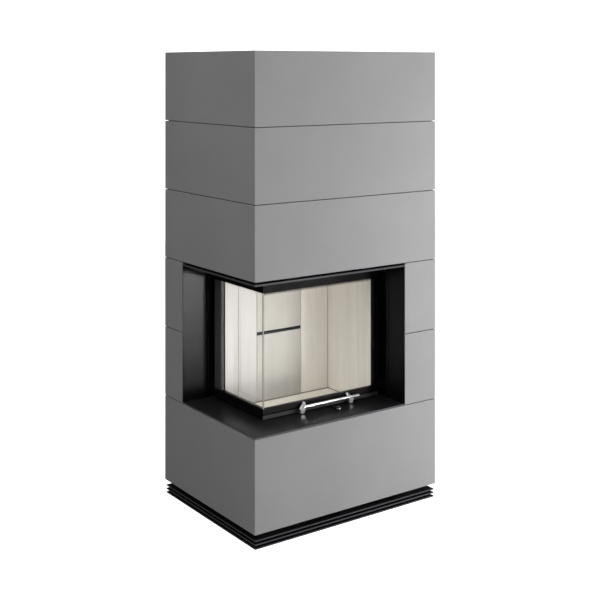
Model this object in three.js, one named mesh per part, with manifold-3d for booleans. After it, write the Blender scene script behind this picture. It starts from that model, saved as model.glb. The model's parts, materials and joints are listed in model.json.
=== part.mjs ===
// Corner fireplace: a lift-door fireplace insert with a glass corner, inside a stack of cast stone blocks.
// Millimetres, +Z up, +X to the right along the front face, -Y towards the room, floor at Z = 0.
// Pieces are drawn from the near corner (left face X = 0, front face Y = 0), and the whole is centred last.

import * as THREE from 'three'
import { mergeVertices } from 'three/addons/utils/BufferGeometryUtils.js'
import { ConvexGeometry } from 'three/addons/geometries/ConvexGeometry.js'
import Module from 'manifold-3d'

// ---------------------------------------------------------------- driving dimensions

// Overall and cladding
const width = 1016
const depth = 786
const height = 2100
const baseHeight = 400
const surroundHeight = 329 // each of the two courses beside the firebox
const wall = 50 // thickness of a cast block
const jointHeight = 3 // open groove between two courses, seen from outside
const jointDepth = 12
const blockChamfer = 1
const seat = 0.3 // clearance between a piece and what carries it

// Plinth of stacked fins
const plinthHeight = 63
const finCount = 3
const finThickness = 5.5
const finPitch = 16.5
const finInset = 5
const finChamfer = 0.8
const plinthFrameInset = 40
const plinthFrameWidth = 40
const airWindowHeight = 34
const airWindowLift = 12
const airWindowLength = 260
const airWindowPitch = 320

// Corner opening
const rightColumn = 190.5 // width of the right column, from the right face to its reveal plane
const leftColumn = 170.5 // depth of the left column, from the back face to its reveal plane
const revealSheet = 2.5
const revealInset = 1.5 // reveal sheet behind the outer face
const revealFold = 22 // return flange along the inner edge of a reveal sheet
const panelGap = 6 // shadow gap between a reveal sheet and its guide rail
const sillThickness = 4.5
const sillHem = 3.2 // hem under the sill, which leaves a shadow joint
const sillHemInset = 5
const sillInset = 1
const sillUnderDoor = 3
const sillTongue = 4 // sill beyond the foot of each guide rail
const lintelGap = 7 // shadow gap over the support frame
const frameFlange = 8
const frameReach = 90
const frameWebHeight = 64
const frameWeb = 6
const frameInset = 1
const padLength = 60
const padInset = 20

// Door: two panes in one L-shaped frame that slides up behind the lintel
const doorLeft = 158 // outer plane of the side leaf, from the left face
const doorFront = 177 // outer plane of the front leaf, from the front face
const doorDepth = 20
const doorRightGap = 15.5
const doorBackGap = 26.5
const doorSillGap = 3.3
const bottomRailHeight = 46
const topRailHeight = 51
const glassVisible = 511
const frontStileWidth = 22.5
const sideStileWidth = 55
const glassThickness = 4
const glassPlay = 0.4
const rebateDepth = 8
const lipThickness = 1.7
const seamSize = 4.8
const sealThickness = 2.4
const sealWidth = 14
const sealEdge = 12
const sealEdgeRight = 8
const lipHeight = 18 // raised lower edge of the bottom rail
const lipReach = 3
const lipChamfer = 1.2
const lipGroove = 4.5
const lipGrooveDepth = 6

// Handle
const handleDiameter = 11
const handleStart = 358
const handleEnd = 672
const handleReach = 31 // rod axis in front of the door
const handleHeight = 30 // rod axis above the door's lower edge
const postOffsetStart = -6
const postOffsetEnd = -45
const postWidth = 26
const postFootLeft = 24 // how far each foot sits to the right of its cradle
const postFootRight = -4
const footDiameter = 14
const footDepth = 8
const cradleDrop = 17.5
const cradleThickness = 13
const cradleFoot = 5.5
const cradleLead = 3 // cradle's front edge before the rod's axis
const cradleTaper = 2
const postFootRise = 7 // foot's axis above the rod's axis
const postEdge = 3
const postSides = 16

// Air control
const leverPlace = 520
const leverTravel = 40
const leverReach = 82.5 // lever end in front of the door
const leverWidth = 15
const leverThickness = 2.5
const knobDiameter = 19
const knobHeight = 14
const knobEdge = 1
const knobGroove = 3
const shutterLength = 160
const shutterDepth = 100

// Steel firebox and its lining
const sealGap = 3
const openingDrop = 12 // firebox opening below the visible glass
const bodySheet = 4
const bodyDrop = 68 // underside of the firebox below the top of the base block
const bodyRightBeyond = 6.5 // firebox side beyond the end of the front leaf
const bodyBackBeyond = 8 // firebox back beyond the end of the side leaf
const backJamb = 8 // firebox front beside the back lining
const liningFloorThickness = 24.4
const liningThickness = 25
const panelJoint = 2.4
const rightWallInset = 22.5 // lining's right wall, from the end of the front leaf
const backWallInset = 46 // lining's back wall, from the end of the side leaf
const backJoints = [263, 367, 621.5]
const airSlotLift = 328.3 // middle of the slot above the firebox floor
const airSlotOpening = 17
const liningAboveGlass = 10.4
const baffleThickness = 25
const baffleFrontGap = 56
const smokeSpace = 38 // between the baffle and the top of the firebox
const ductDepth = 24.7
const ductBelow = 330
const ductAbove = 48
const ductSheet = 2
const ductBeyondSlot = 20
const nozzleSetback = 2 // nozzle behind the face of the panels
const nozzlePlay = 1
const nozzleSheet = 1.5

// Smoke path
const flueDiameter = 180
const flueWall = 3
const flueRimBelowTop = 5
const domeHeight = 185
const domeSheet = 4
const domeInset = 60
const collarHeight = 60
const collarWall = 3
const collarPlay = 0.4
const pipeInsert = 50
const roundSides = 40

// Stand and feet
const legSize = 40
const legSheet = 4
const legInset = 20
const legPlate = 6
const legBottom = 40
const tieHeight = 40
const tieLift = 100
const footRadius = 30
const footThickness = 8
const studRadius = 6

// Combustion air
const airBoxWidth = 220
const airBoxDepth = 200
const airBoxHeight = 130
const airBoxSheet = 2
const airBoxBehindFront = 60
const spigotDiameter = 125
const spigotWall = 3
const spigotPlay = 3
const spigotX = 510
const shutterPocket = 4.5 // height of the gap in which the shutter slides

// Lifting gear
const guideLip = 15
const guideDepth = 38
const guideSheet = 2
const slotLeadLeft = 10
const slotLeadRight = 42
const slotTrail = 2
const guideTopDrop = 270 // top of the guide rails below the top of the cladding
const shoeHeight = 40
const shoePlay = 0.5
const shoeLift = 27
const armThickness = 16
const strapThickness = 9
const sheaveRadius = 35 // to the rope's centre line
const sheaveRim = 40
const sheaveWidth = 14
const grooveWidth = 6
const grooveFlare = 1
const axleRadius = 6
const axlePlay = 0.05
const axleLength = 34
const cheekThickness = 5
const cheekGap = 2
const cheekWidth = 40
const bracketPlate = 6
const sheaveLift = 45
const ropeDiameter = 4
const ropeSides = 10
const ropeHole = 16
const weightThickness = 34
const weightWidth = 100
const weightHeight = 600
const weightHang = 175 // below the sheave axle

// Top cover
const coverRecess = 40
const coverSheet = 3
const coverRim = 20
const coverFlueGap = 8
const ventLength = 120
const ventWidth = 12
const ventPitch = 30
const ventRows = 8
const ventBackInset = 120

// ---------------------------------------------------------------- levels and planes that follow from them

const baseTop = plinthHeight + baseHeight
const firstJoint = baseTop + surroundHeight
const surroundTop = firstJoint + surroundHeight
const upperHeight = (height - surroundTop) / 3
const sillTop = baseTop + seat + sillHem + sillThickness
const frameTop = surroundTop - lintelGap
const frameBottom = frameTop - frameFlange
const rightReveal = width - rightColumn
const backReveal = depth - leftColumn
const guideTop = height - guideTopDrop

const doorRight = rightReveal - doorRightGap
const doorBack = backReveal - doorBackGap
const doorBottom = sillTop + doorSillGap
const glassBottom = doorBottom + bottomRailHeight
const glassTop = glassBottom + glassVisible
const doorTop = glassTop + topRailHeight
const doorInnerLeft = doorLeft + doorDepth
const doorInnerFront = doorFront + doorDepth

const bodyLeft = doorInnerLeft + sealGap
const bodyFront = doorInnerFront + sealGap
const bodyRight = doorRight + bodyRightBeyond
const bodyBack = doorBack + bodyBackBeyond
const bodyBottom = baseTop - bodyDrop
const liningBottom = bodyBottom + bodySheet + seat
const liningFloorTop = liningBottom + liningFloorThickness
const liningTop = glassTop + liningAboveGlass
const bodyTop = liningTop + seat + baffleThickness + smokeSpace
const airSlotHeight = liningFloorTop + airSlotLift
const fireboxRight = doorRight - rightWallInset
const fireboxBack = doorBack - backWallInset

const leftSlotStart = doorLeft - slotLeadLeft
const leftSlotEnd = doorInnerLeft + slotTrail
const rightSlotStart = doorFront - slotLeadRight
const rightSlotEnd = doorInnerFront + slotTrail
const sheaveHeight = guideTop + bracketPlate + sheaveLift
const flueRadius = flueDiameter / 2
const flueX = (bodyLeft + bodyRight) / 2
const flueY = (bodyFront + bodyBack) / 2
const liningBack = fireboxBack + liningThickness

// ---------------------------------------------------------------- materials

function finish(color, roughness, metalness = 0) {
  return new THREE.MeshStandardMaterial({ color, roughness, metalness })
}

const castStone = finish(0x9b9b9c, 0.85)
const blackSteel = finish(0x1c1c1e, 0.35, 0.4)
const blackInside = finish(0x141414, 0.7)
const polishedSteel = finish(0xd8d8d8, 0.12, 1)
const galvanised = finish(0x9aa0a4, 0.45, 0.9)
const fireclay = finish(0xd8d0c4, 0.9)
const ceramicGlass = finish(0xdfe6e2, 0.03)
ceramicGlass.transparent = true
ceramicGlass.opacity = 0.2
const ropeSeal = finish(0x2a2a2a, 0.95)
const castIron = finish(0x4a4a4c, 0.6, 0.6)

// ---------------------------------------------------------------- geometry helpers

const wasm = await Module()
wasm.setup()

function toSolid(geometry) {
  const plain = geometry.clone()
  plain.deleteAttribute('normal')
  plain.deleteAttribute('uv')
  const merged = mergeVertices(plain, 1e-3)
  const vertProperties = new Float32Array(merged.attributes.position.array)
  const triVerts = new Uint32Array(merged.index.array)
  return new wasm.Manifold(new wasm.Mesh({ numProp: 3, vertProperties, triVerts }))
}

function toGeometry(solid) {
  const mesh = solid.getMesh()
  const geometry = new THREE.BufferGeometry()
  geometry.setAttribute('position', new THREE.BufferAttribute(mesh.vertProperties, 3))
  geometry.setIndex(new THREE.BufferAttribute(mesh.triVerts, 1))
  geometry.computeVertexNormals()
  return geometry
}

function join(...geometries) {
  const [first, ...others] = geometries.map(toSolid)
  return toGeometry(others.reduce((total, next) => total.add(next), first))
}

function cut(geometry, ...cutters) {
  return toGeometry(cutters.map(toSolid).reduce((rest, next) => rest.subtract(next), toSolid(geometry)))
}

function box(x0, x1, y0, y1, z0, z1) {
  const geometry = new THREE.BoxGeometry(x1 - x0, y1 - y0, z1 - z0)
  geometry.translate((x0 + x1) / 2, (y0 + y1) / 2, (z0 + z1) / 2)
  return geometry
}

function outline(points) {
  return points.map(([x, y]) => new THREE.Vector2(x, y))
}

// Upright prism over a plan outline, with an optional chamfer along its upper and lower edges.
function prism(points, z0, z1, { hole, chamfer = 0 } = {}) {
  const shape = new THREE.Shape(outline(points))
  if (hole) shape.holes.push(new THREE.Path(outline(hole)))
  const geometry = new THREE.ExtrudeGeometry(shape, {
    depth: z1 - z0 - 2 * chamfer,
    bevelEnabled: chamfer > 0,
    bevelThickness: chamfer,
    bevelSize: chamfer,
    bevelOffset: -chamfer,
    bevelSegments: 1,
  })
  geometry.translate(0, 0, z0 + chamfer)
  return geometry
}

// Rectangle in plan with its four upright edges cut back by a chamfer.
function rectangle(x0, y0, x1, y1, c = 0) {
  if (c === 0) return [[x0, y0], [x1, y0], [x1, y1], [x0, y1]]
  return [
    [x0 + c, y0], [x1 - c, y0], [x1, y0 + c], [x1, y1 - c],
    [x1 - c, y1], [x0 + c, y1], [x0, y1 - c], [x0, y0 + c],
  ]
}

// Closed ring of constant width, set back from the cladding's outer faces.
function ring(inset, ringWidth, z0, z1, chamfer) {
  const inner = inset + ringWidth
  return prism(rectangle(inset, inset, width - inset, depth - inset, chamfer), z0, z1, {
    hole: rectangle(inner, inner, width - inner, depth - inner),
    chamfer,
  })
}

// L-shaped band in plan that follows the door's two leaves, between two depths behind their outer planes.
function cornerBand(near, far, z0, z1, { right = doorRight, back = doorBack, chamfer = 0 } = {}) {
  return prism(
    [
      [doorLeft + near, doorFront + near], [right, doorFront + near], [right, doorFront + far],
      [doorLeft + far, doorFront + far], [doorLeft + far, back], [doorLeft + near, back],
    ],
    z0, z1, { chamfer },
  )
}

function rod(radius, length, sides = 24) {
  return new THREE.CylinderGeometry(radius, radius, length, sides)
}

function uprightRod(radius, x, y, z0, z1, sides) {
  const geometry = rod(radius, z1 - z0, sides)
  geometry.rotateX(Math.PI / 2)
  geometry.translate(x, y, (z0 + z1) / 2)
  return geometry
}

function rodAlongY(radius, x, z, y0, y1, sides) {
  const geometry = rod(radius, y1 - y0, sides)
  geometry.translate(x, (y0 + y1) / 2, z)
  return geometry
}

function rodAlongX(radius, y, z, x0, x1, sides) {
  const geometry = rod(radius, x1 - x0, sides)
  geometry.rotateZ(Math.PI / 2)
  geometry.translate((x0 + x1) / 2, y, z)
  return geometry
}

// The left lifting gear lies along X and reaches back along Y.
// The right one lies along Y and reaches along X.
function stPoint(side, s, t, z) {
  return side === 'left' ? [s, t, z] : [t, s, z]
}

function stRodAlongS(side, radius, t, z, s0, s1, sides) {
  const rodAlongSide = side === 'left' ? rodAlongX : rodAlongY
  return rodAlongSide(radius, t, z, s0, s1, sides)
}

function stUprightRod(side, radius, s, t, z0, z1, sides) {
  const [x, y] = stPoint(side, s, t)
  return uprightRod(radius, x, y, z0, z1, sides)
}

const fireplace = new THREE.Group()
const corner = new THREE.Group()
corner.position.set(-width / 2, -depth / 2, 0)
fireplace.add(corner)

function add(name, geometry, material) {
  const mesh = new THREE.Mesh(geometry, material)
  mesh.name = name
  corner.add(mesh)
  return mesh
}

// ---------------------------------------------------------------- plinth

const finNames = ['lower', 'middle', 'upper']
const finWidth = plinthFrameInset - finInset - seat
for (let i = 0; i < finCount; i++) {
  const z = i * finPitch
  add(`plinth_fin_${finNames[i]}`, ring(finInset, finWidth, z, z + finThickness, finChamfer), blackSteel)
}

// Square tube frame that carries the blocks, with windows through which room air reaches the firebox.
function airWindows() {
  const z0 = airWindowLift
  const z1 = airWindowLift + airWindowHeight
  const windows = []
  const along = Math.floor((width - 2 * plinthFrameInset - airWindowLength) / airWindowPitch)
  for (let i = 0; i < along; i++) {
    const x = width / 2 + (i - (along - 1) / 2) * airWindowPitch
    windows.push(box(x - airWindowLength / 2, x + airWindowLength / 2, 0, depth, z0, z1))
  }
  const across = Math.floor((depth - 2 * plinthFrameInset - airWindowLength) / airWindowPitch)
  for (let i = 0; i < across; i++) {
    const y = depth / 2 + (i - (across - 1) / 2) * airWindowPitch
    windows.push(box(0, width, y - airWindowLength / 2, y + airWindowLength / 2, z0, z1))
  }
  return windows
}

const frameTube = ring(plinthFrameInset, plinthFrameWidth, 0, plinthHeight, 0)
add('plinth_frame', cut(frameTube, ...airWindows()), blackSteel)

// ---------------------------------------------------------------- cast stone blocks

// Each course stands on a narrower tongue, which leaves an open groove above the course below it.
function ringBlock(z0, z1) {
  return join(
    ring(0, wall, z0 + jointHeight, z1, blockChamfer),
    ring(jointDepth, wall - jointDepth, z0, z0 + jointHeight + blockChamfer, 0),
  )
}

// Course that leaves the near left corner open: left column, back, right side and right column.
function surroundPlan(inset, c) {
  const x0 = inset
  const x1 = width - inset
  const y1 = depth - inset
  const leftEnd = backReveal + revealSheet + seat
  const rightEnd = rightReveal + revealSheet + seat
  return [
    [rightEnd, inset], [x1 - c, inset], [x1, inset + c], [x1, y1 - c], [x1 - c, y1],
    [x0 + c, y1], [x0, y1 - c], [x0, leftEnd], [wall, leftEnd], [wall, depth - wall],
    [width - wall, depth - wall], [width - wall, wall], [rightEnd, wall],
  ]
}

function surroundBlock(z0, z1) {
  const c = blockChamfer
  return join(
    prism(surroundPlan(0, c), z0 + jointHeight, z1, { chamfer: c }),
    prism(surroundPlan(jointDepth, c), z0, z0 + jointHeight + c),
  )
}

const airBoxTop = bodyBottom - shutterPocket
const spigotHeight = airBoxTop - airBoxHeight / 2
const spigotRadius = spigotDiameter / 2
const ductHole = rodAlongY(
  spigotRadius + spigotPlay, spigotX, spigotHeight, depth - 2 * wall, depth + wall, roundSides,
)
const baseRing = ring(0, wall, plinthHeight + seat, baseTop, blockChamfer)
add('base_block', cut(baseRing, ductHole), castStone)
add('surround_block_lower', surroundBlock(baseTop + seat, firstJoint), castStone)
add('surround_block_upper', surroundBlock(firstJoint + seat, surroundTop), castStone)
const upperNames = ['lintel_block', 'upper_block', 'top_block']
upperNames.forEach((name, i) => {
  const z = surroundTop + i * upperHeight
  add(name, ringBlock(z + seat, z + upperHeight), castStone)
})

// ---------------------------------------------------------------- sill, reveals and support frame

const innerLeft = wall + seat
const innerFront = wall + seat
const innerRight = width - wall - seat
const innerBack = depth - wall - seat
const sillEdgeLeft = doorLeft + sillUnderDoor
const sillEdgeFront = doorFront + sillUnderDoor
const leftRailStart = leftSlotStart - guideLip
const leftRailEnd = leftSlotEnd + guideLip
const rightRailStart = rightSlotStart - guideLip
const rightRailEnd = rightSlotEnd + guideLip
const leftRailBack = backReveal + guideDepth
const rightRailBack = rightReveal + guideDepth

function sillPlan(inset) {
  return [
    [sillInset + inset, sillInset + inset],
    [rightReveal - inset, sillInset + inset],
    [rightReveal - inset, innerFront + inset],
    [rightRailBack + sillTongue - inset, innerFront + inset],
    [rightRailBack + sillTongue - inset, rightRailEnd + sillTongue],
    [rightReveal - inset, rightRailEnd + sillTongue],
    [rightReveal - inset, sillEdgeFront],
    [sillEdgeLeft, sillEdgeFront],
    [sillEdgeLeft, backReveal - inset],
    [leftRailEnd + sillTongue, backReveal - inset],
    [leftRailEnd + sillTongue, leftRailBack + sillTongue - inset],
    [innerLeft + inset, leftRailBack + sillTongue - inset],
    [innerLeft + inset, backReveal - inset],
    [sillInset + inset, backReveal - inset],
  ]
}
const hemTop = baseTop + seat + sillHem
add(
  'hearth_sill',
  join(prism(sillPlan(0), hemTop, sillTop), prism(sillPlan(sillHemInset), baseTop + seat, hemTop + 0.01)),
  blackSteel,
)

// Folded sheets that face the two columns towards the opening.
const leftPanelEnd = leftRailStart - panelGap
const rightPanelEnd = rightRailStart - panelGap
const revealBottom = sillTop + seat
const revealTop = frameBottom - seat
add(
  'reveal_left',
  prism(
    [
      [revealInset, backReveal], [leftPanelEnd, backReveal], [leftPanelEnd, backReveal + revealFold],
      [leftPanelEnd - revealSheet, backReveal + revealFold],
      [leftPanelEnd - revealSheet, backReveal + revealSheet], [revealInset, backReveal + revealSheet],
    ],
    revealBottom, revealTop,
  ),
  blackSteel,
)
add(
  'reveal_right',
  prism(
    [
      [rightReveal, revealInset], [rightReveal + revealSheet, revealInset],
      [rightReveal + revealSheet, rightPanelEnd - revealSheet],
      [rightReveal + revealFold, rightPanelEnd - revealSheet],
      [rightReveal + revealFold, rightPanelEnd], [rightReveal, rightPanelEnd],
    ],
    revealBottom, revealTop,
  ),
  blackSteel,
)

// Flanged angle under the lintel; its upright web is bolted to the inner faces of the two columns.
function flangePlan() {
  return [
    [frameInset, frameInset], [rightReveal, frameInset], [rightReveal, innerFront], [innerRight, innerFront],
    [innerRight, frameReach], [frameReach, frameReach], [frameReach, innerBack], [innerLeft, innerBack],
    [innerLeft, backReveal], [frameInset, backReveal],
  ]
}

function webPlan() {
  return [
    [innerLeft, innerFront], [innerRight, innerFront], [innerRight, innerFront + frameWeb],
    [innerLeft + frameWeb, innerFront + frameWeb], [innerLeft + frameWeb, innerBack], [innerLeft, innerBack],
  ]
}
const padBottom = frameTop - 0.01
const padTop = surroundTop
const framePads = [0.25, 0.75].flatMap((share) => {
  const x = share * rightReveal
  const y = share * backReveal
  return [
    box(x - padLength / 2, x + padLength / 2, padInset, wall - frameWeb, padBottom, padTop),
    box(padInset, wall - frameWeb, y - padLength / 2, y + padLength / 2, padBottom, padTop),
  ]
})
add(
  'lintel_support_frame',
  join(
    prism(flangePlan(), frameBottom, frameTop),
    prism(webPlan(), frameBottom, frameBottom + frameWebHeight),
    ...framePads,
  ),
  blackSteel,
)

// ---------------------------------------------------------------- firebox body

const jambRight = fireboxRight
const jambBack = fireboxBack - backJamb
const openingBottom = glassBottom - openingDrop
const openingTop = glassTop
const innerBody = {
  x0: bodyLeft + bodySheet, x1: bodyRight - bodySheet, y0: bodyFront + bodySheet, y1: bodyBack - bodySheet,
  z0: bodyBottom + bodySheet, z1: bodyTop - bodySheet,
}
const { x0: innerX0, x1: innerX1, y0: innerY0, y1: innerY1, z0: innerZ0, z1: innerZ1 } = innerBody
const bodyShell = box(bodyLeft, bodyRight, bodyFront, bodyBack, bodyBottom, bodyTop)
const cavity = box(innerX0, innerX1, innerY0, innerY1, innerZ0, innerZ1)
const glassWindow = prism(
  [
    [bodyLeft - wall, bodyFront - wall], [jambRight, bodyFront - wall], [jambRight, bodyFront + 2 * bodySheet],
    [bodyLeft + 2 * bodySheet, bodyFront + 2 * bodySheet], [bodyLeft + 2 * bodySheet, jambBack],
    [bodyLeft - wall, jambBack],
  ],
  openingBottom, openingTop,
)
const domeLeft = flueX - flueRadius - domeInset
const domeRight = flueX + flueRadius + domeInset
const domeFront = flueY - flueRadius - domeInset / 2
const domeBack = flueY + flueRadius + domeInset / 2
const smokeHole = box(domeLeft, domeRight, domeFront, domeBack, innerBody.z1 - 1, bodyTop + 1)
const airBoxLeft = leverPlace - airBoxWidth / 2
const airBoxRight = leverPlace + airBoxWidth / 2
const airBoxFront = bodyFront + airBoxBehindFront
const airBoxBack = airBoxFront + airBoxDepth
const trayHoles = [-1, 1].map((side) => {
  const x = leverPlace + side * (shutterLength / 4)
  const y = airBoxFront + airBoxDepth / 2
  return box(x - leverTravel / 2, x + leverTravel / 2, y - leverTravel, y + leverTravel,
    bodyBottom - 1, innerBody.z0 + 1)
})
add('firebox_body', cut(bodyShell, cavity, glassWindow, smokeHole, ...trayHoles), blackInside)

// ---------------------------------------------------------------- fireclay lining and baffle

const liningLeft = innerBody.x0 + seat
const liningRight = fireboxRight + liningThickness - seat
add(
  'lining_floor',
  box(liningLeft, fireboxRight - panelJoint, innerBody.y0 + seat, fireboxBack - panelJoint, liningBottom,
    liningFloorTop),
  fireclay,
)
const backEdges = [liningLeft - panelJoint / 2, ...backJoints, fireboxRight - panelJoint / 2]
const slotBottom = airSlotHeight - airSlotOpening / 2
const slotTop = airSlotHeight + airSlotOpening / 2

function backPanel(index, z0, z1) {
  const half = panelJoint / 2
  return box(backEdges[index] + half, backEdges[index + 1] - half, fireboxBack, liningBack, z0, z1)
}
add('lining_back_end', backPanel(0, liningBottom, liningTop), fireclay)
add('lining_back_left', backPanel(1, liningBottom, liningTop), fireclay)
add('lining_back_centre_lower', backPanel(2, liningBottom, slotBottom), fireclay)
add('lining_back_centre_upper', backPanel(2, slotTop, liningTop), fireclay)
add('lining_back_right', backPanel(3, liningBottom, liningTop), fireclay)
add(
  'lining_right',
  box(fireboxRight, liningRight, innerBody.y0 + seat, liningBack, liningBottom, liningTop),
  fireclay,
)
add(
  'baffle_plate',
  box(liningLeft, liningRight, innerBody.y0 + baffleFrontGap, liningBack, liningTop + seat,
    liningTop + seat + baffleThickness),
  fireclay,
)

// Duct behind the back lining, open at its foot; its flat nozzle lines the slot between two panels.
const ductFront = liningBack + seat
const ductBack = ductFront + ductDepth - seat
const ductLeft = backJoints[1] - ductBeyondSlot
const ductRight = backJoints[2] + ductBeyondSlot
const ductBottom = slotBottom - ductBelow
const ductTop = slotTop + ductAbove
const nozzleFront = fireboxBack + nozzleSetback
const nozzle = {
  x0: backJoints[1] + nozzlePlay, x1: backJoints[2] - nozzlePlay,
  z0: slotBottom + nozzlePlay, z1: slotTop - nozzlePlay,
}
add(
  'secondary_air_duct',
  cut(
    join(
      box(ductLeft, ductRight, ductFront, ductBack, ductBottom, ductTop),
      box(nozzle.x0, nozzle.x1, nozzleFront, ductFront + 1, nozzle.z0, nozzle.z1),
    ),
    box(ductLeft + ductSheet, ductRight - ductSheet, ductFront + ductSheet, ductBack - ductSheet,
      ductBottom - 1, ductTop - ductSheet),
    box(nozzle.x0 + nozzleSheet, nozzle.x1 - nozzleSheet, nozzleFront - 1, ductFront + ductSheet + 1,
      nozzle.z0 + nozzleSheet, nozzle.z1 - nozzleSheet),
  ),
  blackInside,
)

// ---------------------------------------------------------------- smoke dome and flue pipe

const domeBottom = bodyTop + seat
const domeTop = domeBottom + domeHeight
const collarInner = flueRadius + collarPlay
const collarOuter = collarInner + collarWall

function domeHull(offset, z0, z1) {
  const points = [
    new THREE.Vector3(domeLeft - offset, domeFront - offset, z0),
    new THREE.Vector3(domeRight + offset, domeFront - offset, z0),
    new THREE.Vector3(domeRight + offset, domeBack + offset, z0),
    new THREE.Vector3(domeLeft - offset, domeBack + offset, z0),
  ]
  for (let i = 0; i < roundSides; i++) {
    const turn = (2 * Math.PI * i) / roundSides
    const radius = collarInner + offset
    points.push(new THREE.Vector3(flueX + radius * Math.cos(turn), flueY + radius * Math.sin(turn), z1))
  }
  return new ConvexGeometry(points)
}
add(
  'smoke_dome',
  cut(
    join(
      domeHull(domeSheet, domeBottom, domeTop),
      uprightRod(collarOuter, flueX, flueY, domeTop - 1, domeTop + collarHeight, roundSides),
    ),
    domeHull(0, domeBottom - 1, domeTop + 0.5),
    uprightRod(collarInner, flueX, flueY, domeTop - 2, domeTop + collarHeight + 1, roundSides),
  ),
  blackInside,
)
const pipeBottom = domeTop + collarHeight - pipeInsert
const pipeTop = height - flueRimBelowTop
add(
  'flue_pipe',
  cut(
    uprightRod(flueRadius, flueX, flueY, pipeBottom, pipeTop, roundSides),
    uprightRod(flueRadius - flueWall, flueX, flueY, pipeBottom - 1, pipeTop + 1, roundSides),
  ),
  blackInside,
)

// ---------------------------------------------------------------- stand and levelling feet

const standLeft = bodyLeft + legInset
const standRight = bodyRight - legInset
const standFront = bodyFront + legInset
const standBack = bodyBack - legInset
const standTop = bodyBottom - seat

// Angle-iron leg with its heel at (x, y), opening towards the middle of the stand.
function leg(x, y, dx, dy) {
  const span = (a, b) => [Math.min(a, b), Math.max(a, b)]
  const [ax, bx] = span(x, x + dx * legSize)
  const [ay, by] = span(y, y + dy * legSize)
  const [tx0, tx1] = span(x, x + dx * legSheet)
  const [ty0, ty1] = span(y, y + dy * legSheet)
  return [
    box(ax, bx, ty0, ty1, legBottom, standTop),
    box(tx0, tx1, ay, by, legBottom, standTop),
    box(ax, bx, ay, by, legBottom, legBottom + legPlate),
  ]
}
const tieTop = tieLift + tieHeight

// Foot disc on a stud that is screwed into the leg's end plate.
function levellingFoot(x, y) {
  return [
    uprightRod(footRadius, x, y, 0, footThickness, 24),
    uprightRod(studRadius, x, y, footThickness - 1, legBottom + legPlate + studRadius, 12),
  ]
}
const heel = legSize / 2
add(
  'insert_stand',
  join(
    ...leg(standLeft, standFront, 1, 1), ...leg(standRight, standFront, -1, 1),
    ...leg(standLeft, standBack, 1, -1), ...leg(standRight, standBack, -1, -1),
    box(standLeft, standRight, standFront, standFront + legSheet, tieLift, tieTop),
    box(standLeft, standRight, standBack - legSheet, standBack, tieLift, tieTop),
    box(standLeft, standLeft + legSheet, standFront, standBack, tieLift, tieTop),
    box(standRight - legSheet, standRight, standFront, standBack, tieLift, tieTop),
    ...levellingFoot(standLeft + heel, standFront + heel),
    ...levellingFoot(standRight - heel, standFront + heel),
    ...levellingFoot(standLeft + heel, standBack - heel),
    ...levellingFoot(standRight - heel, standBack - heel),
  ),
  blackInside,
)

// ---------------------------------------------------------------- combustion air box, shutter and lever

const airBoxBottom = airBoxTop - airBoxHeight
const spigotFlange = airBoxHeight / 2 - seat
const flangeDepth = (airBoxDepth - shutterDepth) / 2 - 2
const spigotStart = airBoxBack + seat
const spigotEnd = depth - seat
const spigotBore = spigotRadius - spigotWall
add(
  'air_box',
  cut(
    join(
      box(airBoxLeft, airBoxRight, airBoxFront, airBoxBack, airBoxBottom, airBoxTop),
      box(airBoxLeft, airBoxRight, airBoxFront, airBoxFront + flangeDepth, airBoxTop - 1, bodyBottom - seat),
      box(airBoxLeft, airBoxRight, airBoxBack - flangeDepth, airBoxBack, airBoxTop - 1, bodyBottom - seat),
    ),
    box(airBoxLeft + airBoxSheet, airBoxRight - airBoxSheet, airBoxFront + airBoxSheet,
      airBoxBack - airBoxSheet, airBoxBottom + airBoxSheet, airBoxTop - airBoxSheet),
    ...[-1, 1].map((side) => {
      const x = leverPlace + side * (shutterLength / 4)
      const y = airBoxFront + airBoxDepth / 2
      return box(x - leverTravel / 2, x + leverTravel / 2, y - leverTravel, y + leverTravel,
        airBoxTop - 2 * airBoxSheet, airBoxTop + 1)
    }),
    rodAlongY(spigotBore, spigotX, spigotHeight, airBoxBack - 2 * airBoxSheet, airBoxBack + 1, roundSides),
    box(leverPlace - leverTravel - leverWidth, leverPlace + leverTravel + leverWidth, airBoxFront - 1,
      airBoxFront + flangeDepth + 1, airBoxTop, bodyBottom),
  ),
  galvanised,
)

add(
  'air_spigot',
  cut(
    join(
      rodAlongY(spigotRadius, spigotX, spigotHeight, spigotStart, spigotEnd, roundSides),
      rodAlongY(spigotFlange, spigotX, spigotHeight, spigotStart, spigotStart + spigotWall, roundSides),
    ),
    rodAlongY(spigotBore, spigotX, spigotHeight, spigotStart - 1, spigotEnd + 1, roundSides),
  ),
  galvanised,
)

// The shutter slides in the pocket over the air box; its two windows uncover the holes one after the other.
const shutterBottom = airBoxTop + seat
const shutterTop = shutterBottom + leverThickness
const shutterFront = airBoxFront + airBoxDepth / 2 - shutterDepth / 2
const shutterHoles = [-1, 1].map((side) => {
  const x = leverPlace + side * (shutterLength / 4)
  const y = airBoxFront + airBoxDepth / 2
  return box(x - leverTravel / 2, x + leverTravel / 2, y - leverTravel, y + leverTravel,
    shutterBottom - 1, shutterTop + 1)
})
add(
  'air_shutter',
  cut(
    box(leverPlace - shutterLength / 2, leverPlace + shutterLength / 2, shutterFront,
      shutterFront + shutterDepth, shutterBottom, shutterTop),
    ...shutterHoles,
  ),
  galvanised,
)

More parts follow.
